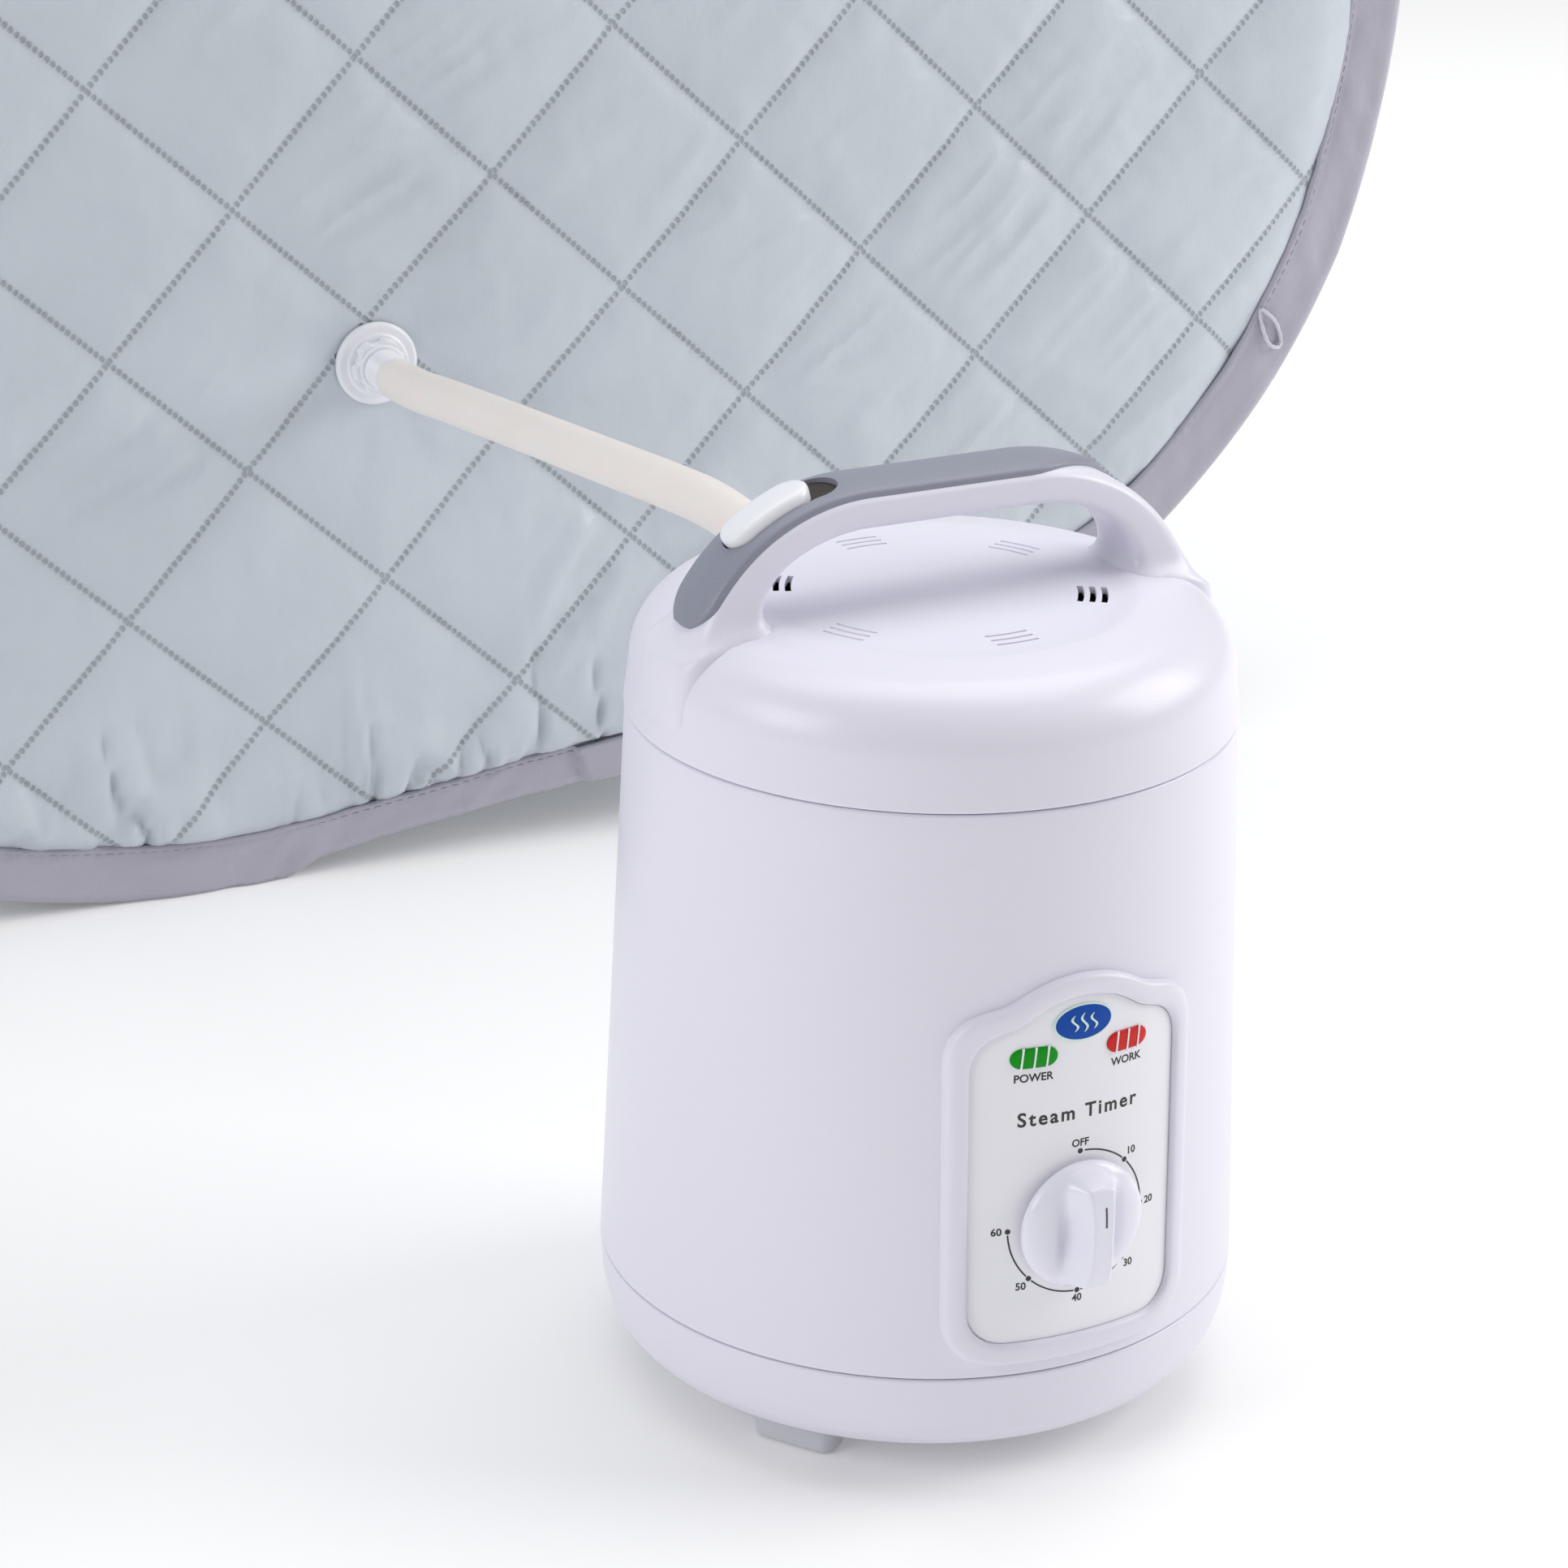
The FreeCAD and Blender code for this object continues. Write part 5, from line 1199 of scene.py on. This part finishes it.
def pot_shells():
    """The base pan and the tapered body, with softly rounded edges at their seams."""
    base_low, base_high = node_box("pot_base")
    low, base_top = base_low[2], base_high[2]
    pan = rounded([
        (0, low, 0), (82, low, 6), (91.5, low + 1.6, 7), (96.6, low + 7.2, 14), (99.2, low + 16, 30),
        (100.0, base_top, 0.8), (98.6, base_top, 0.3), (98.4, base_top - 6, 0), (94, low + 9, 8),
        (85, low + 3, 3), (0, low + 3, 0),
    ], 8)
    pot_solid("base_pan", lathe(pan.tolist()), "white_plastic", ["pot_base"], sharp=50)

    profile = rounded([
        (BODY_LOW_RADIUS - WALL, BODY_LOW, 0.4), (BODY_LOW_RADIUS, BODY_LOW, 0.7),
        (BODY_TOP_RADIUS, BODY_TOP, 0.9), (BODY_TOP_RADIUS - WALL, BODY_TOP, 0.4),
    ], 5)
    heights = np.linspace(0, 1, 24)[1:-1, None]
    split = int(np.argmax(profile[:, 1] > (BODY_LOW + BODY_TOP) / 2))
    side = profile[split - 1] * (1 - heights) + profile[split] * heights
    profile = np.concatenate([profile[:split], side, profile[split:]])
    body = pot_solid("pot_body", lathe(profile.tolist(), 256), "white_plastic", ["body_shell"], sharp=50)

    # The power inlet's window, on the side away from the photograph.
    middle = node_middle("power_inlet")[2]
    window, faces = prism([(70, -13.6), (115, -13.6), (115, 13.6), (70, 13.6)], middle - 10.1,
                          middle + 10.1, "z")
    turn = np.array(Matrix.Rotation(-POT_YAW, 3, "Z"))
    carve(body, [(window @ turn.T, faces)])


def pot_feet():
    """The four soft pads under the base."""
    height = node_box("pot_feet")[1][2]
    outline = rounded([(70.5, -13.5, 4), (82.5, -13.5, 4), (82.5, 13.5, 4), (70.5, 13.5, 4)])
    pads = []
    for degrees in (-35, 35, 145, 215):
        turn = np.array(Matrix.Rotation(math.radians(degrees), 3, "Z"))
        points, faces = prism(outline, 0.05, height + 0.4, "z")
        pads.append((points @ turn.T, faces))
    bevel(pot_solid("foot_pads", merged(pads), "foot_rubber", ["pot_feet"]), 0.9)


def panel_outline(inset):
    """The control panel's arched outline as (x, z) points, moved inwards by inset."""
    low, high = node_box("control_bezel")
    half = 41.0 - inset
    bottom, peak = low[2] + inset, high[2] - inset
    shoulder = high[2] - 12 - inset
    corner = 14 - inset / 2
    arch = half - corner
    rise = peak - shoulder
    radius = (arch ** 2 + rise ** 2) / (2 * rise)
    turn = math.degrees(math.asin(arch / radius))
    hump = arc((0, peak - radius), radius, -turn, turn, 40)[4:-4]
    left = rounded([(-half, shoulder - 30, 0), (-half, shoulder, corner), (*hump[0], 0)], 12)
    side = np.linspace(shoulder - 30, bottom + corner, 16)[1:-1]
    foot = np.linspace(half - corner, -half + corner, 14)[1:-1]
    line = np.concatenate([
        left[1:-1], hump, left[-2:0:-1] * (-1, 1),
        np.stack([np.full_like(side, half), side], -1),
        arc((half - corner, bottom + corner), corner, 90, 180, 14),
        np.stack([foot, np.full_like(foot, bottom)], -1),
        arc((-half + corner, bottom + corner), corner, 180, 270, 14),
        np.stack([np.full_like(side, -half), side[::-1]], -1)])
    closed, lengths = walked(line)
    places = np.linspace(0, lengths[-1], 260, endpoint=False)
    line = np.stack([np.interp(places, lengths, closed[:, k]) for k in (0, 1)], -1)
    for _ in range(7):
        line = (np.roll(line, 1, 0) + 2 * line + np.roll(line, -1, 0)) / 4
    return line


BEZEL_RIM = 6.6
LABEL_PROUD = 1.2
LAMP_ASIDE, LAMP_HEIGHT = 15.6, 142.0     # the lamps' places on the label
DIAL_RING = 22.6                          # radius of the ring printed round the knob
BADGE_HEIGHT = 151.0


def control_panel():
    """The rounded bezel, the film label inside it, and what is printed on the label."""
    section = [(0.0, -0.4), (0.0, 1.7), (0.35, 2.6), (1.2, 3.1), (2.6, 3.25), (4.4, 3.1),
               (5.6, 2.8), (6.3, 2.2), (6.6, 1.2), (6.6, -0.4)]
    rings = [on_wall(*panel_outline(inset).T, proud) for inset, proud in section]
    pot_solid("panel_bezel", tube(rings), "white_plastic", ["control_bezel"], sharp=60)

    edge = panel_outline(BEZEL_RIM + 0.15)
    centre = np.array([0, 102.0])
    scales = [(1.0, 0.2), (1.0, LABEL_PROUD - 0.15), (0.994, LABEL_PROUD)]
    scales += [(share, LABEL_PROUD) for share in np.linspace(0.95, 0.02, 22)]
    layers = [on_wall(*(centre + (edge - centre) * scale).T, proud) for scale, proud in scales]
    pot_solid("panel_label", capped(layers), "label_plastic", ["control_label"])
    label_print()
    badge()
    lamp("power_window", "power_lens", "green_lens", -1)
    lamp("work_window", "work_lens", "red_lens", 1)


def lettering(text, x, z, size, tracking=1.0):
    """(points, faces) of a line of print laid on the label."""
    curve = bpy.data.curves.new("Print", "FONT")
    curve.body, curve.size = text, size
    curve.align_x, curve.align_y = "CENTER", "CENTER"
    curve.space_character, curve.extrude, curve.resolution_u = tracking, 0.06, 4
    curve.offset = 0.02 * size
    holder = add_object("Print", curve)
    bpy.context.view_layer.update()
    mesh = bpy.data.meshes.new_from_object(holder)
    points = np.array([v.co for v in mesh.vertices])
    faces = [list(face.vertices) for face in mesh.polygons]
    bpy.data.objects.remove(holder)
    bpy.data.meshes.remove(mesh)
    return on_wall(x + points[:, 0], z + points[:, 1], LABEL_PROUD + points[:, 2]), faces


def ring_print(start, end):
    """A thin printed arc round the dial, its angles clockwise from the top."""
    outer = arc((0, DIAL), DIAL_RING + 0.24, start, end, 40)
    inner = arc((0, DIAL), DIAL_RING - 0.24, end, start, 40)
    return solid_print(np.concatenate([outer, inner]), strip=True)


def solid_print(outline, strip=False, proud=LABEL_PROUD, thick=0.06):
    """(points, faces) of a flat printed shape with a little thickness."""
    count = len(outline)
    top = on_wall(outline[:, 0], outline[:, 1], proud + thick)
    low = on_wall(outline[:, 0], outline[:, 1], proud - thick)
    caps = strip_cap(count) if strip else [list(range(count))]
    faces = caps + [[index + count for index in cap[::-1]] for cap in caps]
    faces += [[k, k + count, (k + 1) % count + count, (k + 1) % count] for k in range(count)]
    return np.concatenate([top, low]), faces


def disc(x, z, radius):
    """The outline of a printed dot."""
    turns = circle(20)
    return np.stack([x + radius * np.cos(turns), z + radius * np.sin(turns)], -1)


def label_print():
    """Generic print: the dial's minutes, OFF, the two lamps' names and a timer line."""
    parts = [lettering("POWER", -LAMP_ASIDE, LAMP_HEIGHT - 6.4, 3.5),
             lettering("WORK", LAMP_ASIDE, LAMP_HEIGHT - 6.4, 3.5),
             lettering("Steam Timer", -0.3, 122.3, 6.2, 1.25)]
    for index, text in enumerate(["OFF", "10", "20", "30", "40", "50", "60"]):
        across, up = math.sin(math.radians(45 * index)), math.cos(math.radians(45 * index))
        reach = 25.2 if index % 4 == 0 else 26.0
        parts.append(lettering(text, reach * across, DIAL + reach * up, 3.3))
        parts.append(solid_print(disc(DIAL_RING * across, DIAL + DIAL_RING * up, 0.85)))
    for start, end in ((4, 42), (48, 90), (137, 177), (183, 222), (228, 267)):
        parts.append(ring_print(start, end))
    add_mesh("label_printing", merged(parts), "label_plastic", finish="label_ink", on_pot=True)


def badge():
    """A plain blue oval with three drifting lines of steam."""
    turns = circle(72)
    proud = LABEL_PROUD + 0.05

    def ovals(*sizes):
        return [on_wall(a * np.cos(turns), BADGE_HEIGHT + b * np.sin(turns), proud + c)
                for a, b, c in sizes]

    rim = ovals((9.9, 5.9, -0.3), (9.9, 5.9, 0.32), (9.6, 5.6, 0.5), (9.3, 5.3, 0.5), (9.3, 5.3, -0.3))
    pot_solid("badge_rim", tube(rim), "badge_blue", finish="badge_line")
    dome = [(9.3 * k, 5.3 * k, 0.42 + 0.35 * (1 - k * k)) for k in np.linspace(0.95, 0.05, 9)]
    plate = ovals((9.3, 5.3, -0.2), (9.3, 5.3, 0.42), *dome)
    pot_solid("badge_plate", capped(plate), "badge_blue", ["badge"])
    waves = []
    share = np.linspace(0, 1, 26)
    for shift, size in ((-3.2, 0.85), (0, 1.0), (3.2, 0.85)):
        x = shift + 0.95 * np.sin(share * 2 * math.pi)
        z = BADGE_HEIGHT + 6.0 * size * (share - 0.5)
        half = 0.42 * np.sin(share * math.pi) ** 0.6 + 0.03
        outline = np.concatenate([np.stack([x + half, z], -1), np.stack([x - half, z], -1)[::-1]])
        waves.append(solid_print(outline, strip=True, proud=proud + 0.78, thick=0.12))
    pot_solid("badge_steam", merged(waves), "badge_blue", finish="badge_line")


def lamp(name, node, slot, side):
    """A domed oval lamp window with three slanted bars across it."""
    middle = side * LAMP_ASIDE
    turns = circle(64)
    level = np.cos(turns).round(9)

    def ring(scale, proud):
        x = middle + (3.6 * np.sign(level) + 3.7 * scale * level) * (0.35 + 0.65 * scale)
        return on_wall(x, LAMP_HEIGHT + 3.15 * scale * np.sin(turns), LABEL_PROUD + proud)

    window = [ring(1.0, -0.6), ring(1.0, 0.35), ring(0.93, 0.6), ring(0.8, 0.72), ring(0.5, 0.82),
              ring(0.15, 0.86)]
    pot_solid(name, capped(window), slot, [node])
    bars = []
    for x in (middle - 3.9, middle, middle + 3.9):
        outline = np.array([(x - 0.62, LAMP_HEIGHT - 3.4), (x - 0.12, LAMP_HEIGHT - 3.4),
                            (x + 0.62, LAMP_HEIGHT + 3.4), (x + 0.12, LAMP_HEIGHT + 3.4)])
        bars.append(solid_print(outline, proud=LABEL_PROUD + 0.8, thick=0.2))
    pot_solid(name + "_bars", merged(bars), "label_plastic")


KNOB_RADIUS, KNOB_LENGTH = 20.2, 15.0


def knob():
    """The timer knob: a low dome crossed by an upright blade, with a short pointer line."""
    back = -(body_radius(DIAL) + LABEL_PROUD + 0.3)

    def relief(x, z):
        far = np.hypot(x, z)
        dome = 1.5 + 4.6 * np.sqrt(np.clip(1 - (far / KNOB_RADIUS) ** 4, 0, 1))
        blade = KNOB_LENGTH - 4.5 * abs(z / KNOB_RADIUS) ** 2.4
        aside = np.maximum(abs(x) - (3.0 + 1.0 * (z / KNOB_RADIUS) ** 2), 0)
        share = np.exp(-(aside / 3.3) ** 1.7) * ease(KNOB_RADIUS - far, 0.6, 4.5)
        scoop = 3.9 * np.exp(-((aside - 4.2) / 2.7) ** 2 - (z / 10.0) ** 2)
        return dome * (1 - share) + blade * share - scoop

    turns = circle(160)

    def ring(radius, y):
        return np.stack([radius * np.sin(turns), np.broadcast_to(y, turns.shape),
                         DIAL + radius * np.cos(turns)], -1)

    layers = [ring(KNOB_RADIUS - 0.5, back), ring(KNOB_RADIUS, back - 0.6)]
    for radius in KNOB_RADIUS - KNOB_RADIUS * np.linspace(0, 0.97, 64) ** 1.35:
        layers.append(ring(radius, back - relief(radius * np.sin(turns), radius * np.cos(turns))))
    pot_solid("dial_knob", capped(layers), "knob_white", ["timer_knob"], body="timer_dial", sharp=70)

    z = np.linspace(4.5, 10.8, 14)
    left, right = (np.stack([np.full_like(z, x), back - relief(x, z) - 0.08, DIAL + z], -1)
                   for x in (0.3, 0.9))
    pointer = tube([left, right, right + (0, 0.3, 0), left + (0, 0.3, 0)])
    quads = [face for face in pointer[1] if abs(face[0] - face[1]) == 1]
    ends = [[row * len(z) + column for row in range(4)] for column in (0, len(z) - 1)]
    pot_solid("knob_pointer", (pointer[0], quads + ends), "knob_white", body="timer_dial",
              finish="pointer_grey")


# ---------------------------------------------------------------- lid and handle

SHOULDER_RADIUS, SHOULDER_HEIGHT, CROWN_RADIUS, DISH_RADIUS = 20.6, 231.2, 473.0, 62.0
LID_SIDE_RADIUS = 91.7
LID_LOW_RADIUS = (lid_high[0] - lid_low[0]) / 2


def lid_profile(inset):
    """The lid's half profile from its lower edge over the shoulder to the middle of the dish."""
    centre = (LID_SIDE_RADIUS - SHOULDER_RADIUS, SHOULDER_HEIGHT)
    meet = math.degrees(math.asin(centre[0] / (CROWN_RADIUS - SHOULDER_RADIUS)))
    crown_centre = (0.0, centre[1] - math.sqrt((CROWN_RADIUS - SHOULDER_RADIUS) ** 2 - centre[0] ** 2))
    rim = math.degrees(math.asin((DISH_RADIUS - inset) / (CROWN_RADIUS - inset)))
    shoulder = arc(centre, SHOULDER_RADIUS - inset, 90, meet, 26)
    crown = arc(crown_centre, CROWN_RADIUS - inset, meet, rim, 5)[1:]
    end = crown[-1]
    dish = [(DISH_RADIUS - back - inset, end[1] - 0.65 * ease(back, 0, 8))
            for back in (1.0, 2.0, 3.0, 4.0, 5.0, 6.0, 7.0, 8.5)]
    dish += [(radius, end[1] - 0.65 + 0.5 * (1 - radius / DISH_RADIUS)) for radius in (44, 34, 22, 10)]
    start = np.array([[LID_LOW_RADIUS - inset, LID_LOW]])
    return np.concatenate([start, shoulder, crown, dish, [[0, end[1] - 0.15]]])


def lid_height(radius):
    """Height of the lid's outer skin at a distance from the axis."""
    line = lid_profile(0)[::-1]
    return np.interp(radius, line[:, 0], line[:, 1])


def lid_skin():
    """The lid with its six groups of three vents, of which two go through."""
    outer = lid_profile(0)
    inner = lid_profile(WALL)[::-1]
    seam = rounded([(outer[0][0] - WALL, LID_LOW, 0.4), (outer[0][0], LID_LOW, 0.9),
                    (outer[1][0], outer[1][1], 0)], 5)[:-1]
    profile = np.concatenate([inner[:-1], seam[1:], outer[1:]])
    skin = pot_solid("lid_skin", lathe(profile.tolist(), 256), "white_plastic", ["lid_shell"],
                     body="lid", sharp=50)
    slots = []
    for group in range(6):
        open_through = group in (1, 4)
        width = 0.95 if open_through else 0.5
        middle = 60 * group + 60
        for row in range(3):
            radius = 44 + 3.6 * row
            half = math.degrees(7.0 / radius)
            low = 236 if open_through else lid_height(radius) - 1.2
            outline = np.concatenate([arc((0, 0), radius + width, middle - half, middle + half, 12),
                                      arc((0, 0), radius - width, middle + half, middle - half, 12)])
            slots.append(prism(outline, low, 262, "z"))
    carve(skin, slots)


HANDLE_HALF = 12.5
ARCH_OUTER, ARCH_INNER_TOP, ARCH_INNER_FOOT = 60.0, 48.5, 40.5
ARCH_DEGREE = math.radians(1) * ARCH_OUTER     # length of one degree along the arch's outside


def arch_places(left, right, count):
    """Evenly spaced places along the arch, left and right being its ends in degrees from the top.

    Gives each place's angle, and its shift along the flat top.
    """
    spots = np.linspace(-left * ARCH_DEGREE - ARCH_HALF, right * ARCH_DEGREE + ARCH_HALF, count)
    past = np.maximum(abs(spots) - ARCH_HALF, 0)
    return np.sign(spots) * past / ARCH_DEGREE, np.clip(spots, -ARCH_HALF, ARCH_HALF)


def arch_point(angle, shift, reach):
    """(x, z) on the arch: the flat's part comes from shift, the turned ends from angle."""
    turn = np.radians(angle)
    return shift + reach * np.sin(turn), ARCH_HEIGHT + reach * np.cos(turn)


def handle():
    """The arched handle, which flares into the lid at both feet."""
    angle, shift = arch_places(93, 93, 190)
    around = circle(72)
    power = 0.42
    across = HANDLE_HALF * np.sign(np.sin(around)) * abs(np.sin(around)) ** power
    inner = ARCH_INNER_TOP + (ARCH_INNER_FOOT - ARCH_INNER_TOP) * ease(abs(angle), 30, 75)
    middle, half = (ARCH_OUTER + inner) / 2, (ARCH_OUTER - inner) / 2
    up = np.sign(np.cos(around)) * abs(np.cos(around)) ** power
    crown = 1 - 0.06 * (across[None, :] / HANDLE_HALF) ** 2
    reach = middle[:, None] + half[:, None] * up[None, :] * crown
    x, z = arch_point(angle[:, None], shift[:, None], reach)
    y = np.broadcast_to(across, x.shape)
    above = z - lid_height(np.hypot(x, y))
    flare = 5.0 * np.exp(-np.maximum(above, 0) / 3.0) * ease(abs(angle), 30, 50)[:, None]
    x = x + flare * up * np.sign(angle)[:, None]
    points = np.stack([x, y + flare * across / HANDLE_HALF, z], -1)
    pot_solid("handle_arch", capped(points), "white_plastic", ["handle"], body="lid", sharp=60)


GRIP_THICK = 2.5
GRIP_HALF = 11.2
GRIP_LEFT, GRIP_RIGHT = 67.5, 48.0
BUTTON_LOW, BUTTON_HIGH, BUTTON_TRAVEL = 42.0, 14.5, 7.4
BUTTON_HALF = 6.7


def stadium(low, high, half, rows=44):
    """A round-ended bar on the arch's left end: (angle, y) points, up one side and back."""
    angle = low + (high - low) * (1 - np.cos(np.linspace(0, math.pi, rows))) / 2
    from_end = np.minimum(low - angle, angle - high) * ARCH_DEGREE
    y = half * np.sqrt(1 - (1 - np.clip(from_end / half, 0.002, 1)) ** 2)
    return np.concatenate([np.stack([angle, y], -1), np.stack([angle, -y], -1)[::-1]])


def strip_cap(count, first=0):
    """Quads that close an outline made of two facing rows."""
    return [[first + k, first + k + 1, first + count - 2 - k, first + count - 1 - k]
            for k in range(count // 2 - 1)]


def grip():
    """The soft grey pad over the handle, with the lock button's slot in it and a dark sheet of painted shade at
    the slot's bottom.
    """
    angle, shift = arch_places(GRIP_LEFT, GRIP_RIGHT, 150)
    share = np.linspace(-1, 1, 41)
    from_left = (angle + GRIP_LEFT) * ARCH_DEGREE + (shift + ARCH_HALF)
    tongue = np.sqrt(np.clip(1 - (1 - np.clip(from_left / GRIP_HALF, 0, 1)) ** 2, 0, 1))
    rear = GRIP_HALF * tongue
    taper = ease(angle, -2, GRIP_RIGHT) * (shift > ARCH_HALF - 1)
    front = -GRIP_HALF * tongue + (2 * GRIP_HALF - 0.6) * taper
    middle, half = (rear + front) / 2, np.maximum((rear - front) / 2, 0.05)
    y = middle[:, None] + half[:, None] * np.sin(share * math.pi / 2)[None, :]
    edge = np.cos(share * math.pi / 2)[None, :] ** 0.42
    rise = np.minimum(1, half / 4)[:, None] * GRIP_THICK * edge
    top = ARCH_OUTER - 0.25 + rise - 0.8 * (y / HANDLE_HALF) ** 2
    skins = []
    for reach in (top, np.full_like(top, ARCH_OUTER - 3.0)):
        x, z = arch_point(angle[:, None], shift[:, None], reach)
        skins.append(np.stack([x, y, z], -1).reshape(-1, 3))
    rows, columns = len(angle), len(share)
    upper = grid_faces(rows, columns)
    count = rows * columns
    faces = upper + [[index + count for index in face[::-1]] for face in upper]
    rim = (list(range(columns)) + [r * columns + columns - 1 for r in range(1, rows)]
           + [(rows - 1) * columns + k for k in range(columns - 2, -1, -1)]
           + [r * columns for r in range(rows - 2, 0, -1)])
    faces += [[a, b, b + count, a + count] for a, b in zip(rim, rim[1:] + rim[:1])]
    pad = pot_solid("soft_grip", (np.concatenate(skins), faces), "grey_grip", ["handle_grip"],
                    body="lid", sharp=60)
    slot_low, slot_high = BUTTON_LOW + 0.6, BUTTON_HIGH - BUTTON_TRAVEL - 1.2
    carve(pad, [arch_prism(stadium(slot_low, slot_high, BUTTON_HALF + 0.45),
                           ARCH_OUTER - 1.2, ARCH_OUTER + 9)])
    # A dark sheet at the slot's bottom is painted shade, darkening the recess beyond what its depth gives.
    floor = arch_prism(stadium(slot_low, slot_high, BUTTON_HALF + 0.4), ARCH_OUTER - 1.3,
                       ARCH_OUTER + 0.5)
    pot_solid("lock_slot_shade_sheet", floor, "grey_grip", body="lid", finish="slot_painted_shade")


def arch_prism(outline, low, high):
    """(points, faces) of an (angle, y) outline on the arch's left end, between two reaches."""
    count = len(outline)
    parts = []
    for reach in (low, high):
        x, z = arch_point(-outline[:, 0], np.full(count, -ARCH_HALF), np.full(count, float(reach)))
        parts.append(np.stack([x, outline[:, 1], z], -1))
    faces = strip_cap(count) + strip_cap(count, count)
    faces += [[k, (k + 1) % count, (k + 1) % count + count, k + count] for k in range(count)]
    return np.concatenate(parts), faces


def lock_button():
    """The crowned sliding button of the lid lock."""
    layers = []
    for shrink, height in ((0.0, -1.3), (0.0, 3.0), (0.12, 4.0), (0.4, 4.7), (0.9, 5.1), (1.7, 5.35),
                           (3.0, 5.5), (4.6, 5.55), (6.2, 5.55)):
        turn = shrink / ARCH_DEGREE
        outline = stadium(BUTTON_LOW - turn, BUTTON_HIGH + turn, BUTTON_HALF - shrink)
        x, z = arch_point(-outline[:, 0], np.full(len(outline), -ARCH_HALF),
                          ARCH_OUTER + height - 0.5 * (outline[:, 1] / BUTTON_HALF) ** 2)
        layers.append(np.stack([x, outline[:, 1], z], -1))
    width = len(layers[0])
    faces = grid_faces(len(layers), width, close_columns=True)
    faces += strip_cap(width) + strip_cap(width, (len(layers) - 1) * width)
    pot_solid("lock_slider", (np.concatenate(layers), faces), "button_plastic", ["lock_button"],
              body="lid_lock", sharp=70)


# ---------------------------------------------------------------- build

dress_cad_nodes()
studio()
steam_hose()
rear_wall()
binding("rear_ribbon", "rear_binding", REAR + THICK / 2, 1, True, 81)
stitches("rear_stitches", REAR - 1.0, -1, True)
spring_hoop("rear_spring", "rear_hoop", REAR + THICK / 2, True)
front_wall()
binding("front_ribbon", "front_binding", FRONT - THICK / 2, -1, False, 91)
spring_hoop("front_spring", "front_hoop", FRONT - THICK / 2, False)
side_wrap()
flap("door_quilt_left", "door_left", "door_leaf_left", 101)
flap("door_quilt_right", "door_right", "door_leaf_right", 111)
flap("hand_quilt_left", "hand_flap_left", "hand_cover_left", 121)
flap("hand_quilt_right", "hand_flap_right", "hand_cover_right", 131)
zips()
collar()
collar_strap()
neck_hem()
tie_loop()
steam_port()
pot_shells()
pot_feet()
control_panel()
knob()
lid_skin()
handle()
grip()
lock_button()
